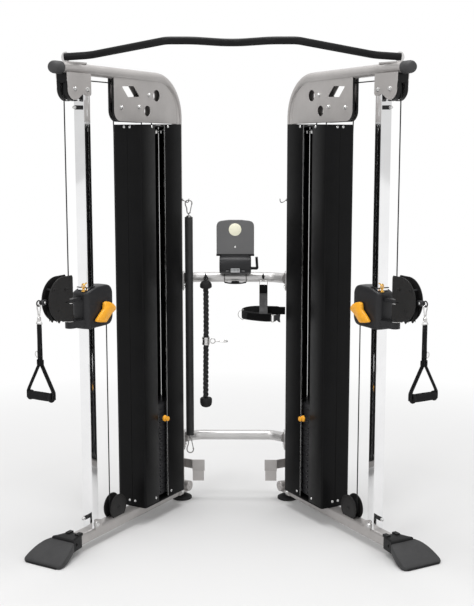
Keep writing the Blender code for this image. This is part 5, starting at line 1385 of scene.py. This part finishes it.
def ankle_cuff():
    """A padded band in an open loop, with its hanging strap, D-ring, buckle and loose end."""
    y, d = HANG_Y, 0.023
    spine = [(0.19, y - d + 0.001, 0.9735), (0.155, y - d - 0.003, 0.9745), (0.105, y - d - 0.0035, 0.979),
        (0.064, y - d + 0.002, 0.9835), (0.043, y - d * 0.45, 0.987), (0.0415, y + d * 0.4, 0.992),
        (0.059, y + d - 0.001, 0.9975), (0.095, y + d + 0.0035, 1.002), (0.145, y + d + 0.003, 1.003),
        (0.19, y + d - 0.001, 1.0025), (0.225, y + d - 0.006, 1.0025)]
    spine = smooth_path(spine, 9)
    section = []
    for a in turns(24):
        u, v = cos(a), sin(a)
        section.append((abs(u) ** 0.6 * (1 if u > 0 else -1), abs(v) ** 0.45 * (1 if v > 0 else -1)))
    points, uvs, run = [], [], 0.0
    last = len(spine) - 1
    for i, here in enumerate(spine):
        along = spine[min(i + 1, last)] - spine[max(i - 1, 0)]
        run += (here - spine[i - 1]).length if i else 0.0
        out = Vector((along.y, -along.x, 0)).normalized()
        end = min(1.0, 0.35 + min(i, last - i) / 3)
        puff = (0.0044 + 0.0005 * sin(run * 260)) * end
        tall = 0.0222 * (0.9 + 0.1 * end)
        for u, v in section:
            points.append(tuple(here + out * u * puff + Vector((0, 0, v * tall))))
            uvs.append((v * tall, run))
    faces = skin(len(section), last + 1) + ends(len(section), last + 1)
    pad = piece("cuff_pad", [(points, faces, uvs)], "padding", "ankle_cuff", smooth=60,
        stands_for="ankle_cuff")
    seams = []
    for v in (-0.0195, 0.0195):
        line = []
        for i, here in enumerate(spine[4:-4]):
            along = spine[i + 5] - spine[i + 3]
            line.append(here + Vector((along.y, -along.x, 0)).normalized() * 0.0036 + Vector((0, 0, v)))
        seams.append(sweep(line, 0.0007, 6))
    piece("cuff_piping", seams, "wheel", "ankle_cuff", slot="webbing", smooth=60)
    band = [p + Vector((0, -0.0062, 0)) for p in spine[:28]]
    shells = [ribbon(band, 0.03, 0.002, UP)]
    tail = [spine[-14] + Vector((0, -0.006, 0)), spine[-6] + Vector((0, -0.0066, 0.001)),
        Vector((0.235, y + d - 0.015, 1.0035)), Vector((0.2575, y + d - 0.016, 1.0035))]
    shells.append(ribbon(smooth_path(tail, 6), 0.039, 0.0024, UP))
    piece("cuff_straps", shells, "webbing", "ankle_cuff", smooth=60)
    front = y - d - 0.008
    hang = [(0.1465, y - 0.001, 1.134), (0.1465, y - 0.0028, 1.11), (0.1465, y - 0.004, 1.07),
        (0.1465, y - 0.011, 1.03), (0.1465, front + 0.003, 1.008), (0.1465, front - 0.001, 0.994)]
    piece("cuff_hanger", [ribbon(smooth_path(hang, 8), 0.0415, 0.0024, ACROSS)], "strap", "ankle_cuff",
        smooth=60)
    fold = [(0.146, y - 0.002, 1.137), (0.146, y - 0.006, 1.128), (0.146, y - 0.0066, 1.11),
        (0.146, y - 0.006, 1.095)]
    piece("cuff_hanger_fold", [ribbon(smooth_path(fold, 6), 0.0395, 0.005, ACROSS)], "webbing",
        "ankle_cuff", smooth=60)
    ring = [(0.045, y - 0.01, 1.011), (0.045, y - 0.01, 0.962), (0.034, y - 0.01, 0.964),
        (0.0225, y - 0.01, 0.974), (0.0185, y - 0.01, 0.9865), (0.0225, y - 0.01, 0.999),
        (0.034, y - 0.01, 1.009)]
    link = [(0.1275, y, 1.137), (0.1275, y, 1.156), (0.1665, y, 1.156), (0.1665, y, 1.137)]
    eye = [(0.145 + 0.0062 * cos(a), y, 1.165 + 0.011 * sin(a)) for a in turns(24)]
    slide = [(0.187, front - 0.001, 0.987), (0.187, front - 0.001, 0.952), (0.1985, front + 0.001, 0.952),
        (0.1985, front + 0.001, 0.987)]

    def closed_bend(corners, radius):
        loop = [*corners, corners[0], corners[1]]
        return bend(loop, [radius] * len(corners), 6)[1:-1]

    rings = [sweep(smooth_path([*ring, ring[0]], 5)[:-1], 0.0016, 10, closed=True),
        sweep(closed_bend(link, 0.003), 0.0019, 10, closed=True),
        sweep(closed_bend(slide, 0.003), 0.0026, 10, closed=True), sweep(eye, 0.0018, 10, closed=True)]
    piece("cuff_rings", rings, "steel", "ankle_cuff", smooth=60)
    clip = [(0.201, 0.986), (0.233, 0.9915), (0.23, 0.972), (0.231, 0.956), (0.233, 0.948), (0.222, 0.952),
        (0.214, 0.96), (0.206, 0.954), (0.201, 0.952)]
    piece("cuff_buckle", [prism(soften(clip, 0.002), front, front + 0.007, "tzs")], "housing", "ankle_cuff",
        bevel=0.001, slot="webbing")


def long_bar():
    x, y = -0.2295, HANG_Y
    sleeve = [(0.0143, 0), (0.019, 0), (0.0203, 0.002), (0.0203, 1.125), (0.019, 1.127), (0.0143, 1.127)]
    piece("bar_sleeve", [turned(sleeve, (x, y, 0.353), UP, 40)], "sleeve", "long_bar", smooth=35,
        stands_for="long_bar_sleeve")
    core = [(0, 0.348), (0.012, 0.348), (0.014, 0.35), (0.014, 1.483), (0.012, 1.486), (0, 1.486)]
    shells = [turned(core, (x, y, 0), UP, 32)]
    for end, way in ((1.486, 1), (0.347, -1)):
        shells.append(turned([(0, 0), (0.0065, 0), (0.007, 0.002), (0.005, 0.005), (0, 0.006)],
            (x, y, end - way * 0.001), (0, 0, way), 20))
        eye = [(x, y + 0.0055 * cos(a), end + way * 0.0085 + 0.0055 * sin(a)) for a in turns(24)]
        shells.append(sweep(eye, 0.0022, 10, closed=True))
        shells += snap_hook((x, y, end + way * 0.0105), (0, 0, way), ACROSS, 0.07 if way > 0 else 0.082,
            0.003, 0.018)
    piece("bar_steel", shells, "hook", "long_bar", smooth=40, stands_for="long_bar_core")


pull_up_bar()
cross_tubes()
placard()
ankle_cuff()
long_bar()


# ---------------------------------------------------------------- floor and light
def stage():
    mesh = bpy.data.meshes.new("studio_floor")
    build = bmesh.new()
    for p in ((-30, -30, 0), (30, -30, 0), (30, 60, 0), (-30, 60, 0)):
        build.verts.new(p)
    build.faces.new(build.verts)
    build.to_mesh(mesh)
    build.free()
    floor = bpy.data.objects.new("studio_floor", mesh)
    scene.collection.objects.link(floor)
    mesh.materials.append(make_floor_material())
    world = bpy.data.worlds.new("studio")
    scene.world = world
    world.use_nodes = True
    sky = world.node_tree.nodes["Background"]
    sky.inputs["Color"].default_value = (1, 1, 1, 1)
    seen = world.node_tree.nodes.new("ShaderNodeLightPath")
    share = world.node_tree.nodes.new("ShaderNodeMapRange")
    share.inputs["To Min"].default_value = 0.76
    world.node_tree.links.new(seen.outputs["Is Camera Ray"], share.inputs["Value"])
    world.node_tree.links.new(share.outputs[0], sky.inputs["Strength"])

    def lamp(name, place, aim, size, power):
        data = bpy.data.lights.new(name, "AREA")
        data.shape = "RECTANGLE"
        data.size, data.size_y = size
        data.energy = power
        thing = bpy.data.objects.new(name, data)
        scene.collection.objects.link(thing)
        thing.location = place
        thing.rotation_mode = "QUATERNION"
        thing.rotation_quaternion = (Vector(aim) - Vector(place)).to_track_quat("-Z", "Y")

    lamp("key", (-2.6, -3.6, 4.6), (0, 0, 1.1), (2.0, 2.0), 70)
    lamp("fill", (3.2, -3.0, 3.4), (0, 0, 1.1), (2.4, 2.4), 35)
    lamp("top", (0, 0.2, 4.8), (0, 0.2, 0), (2.2, 2.2), 105)


stage()
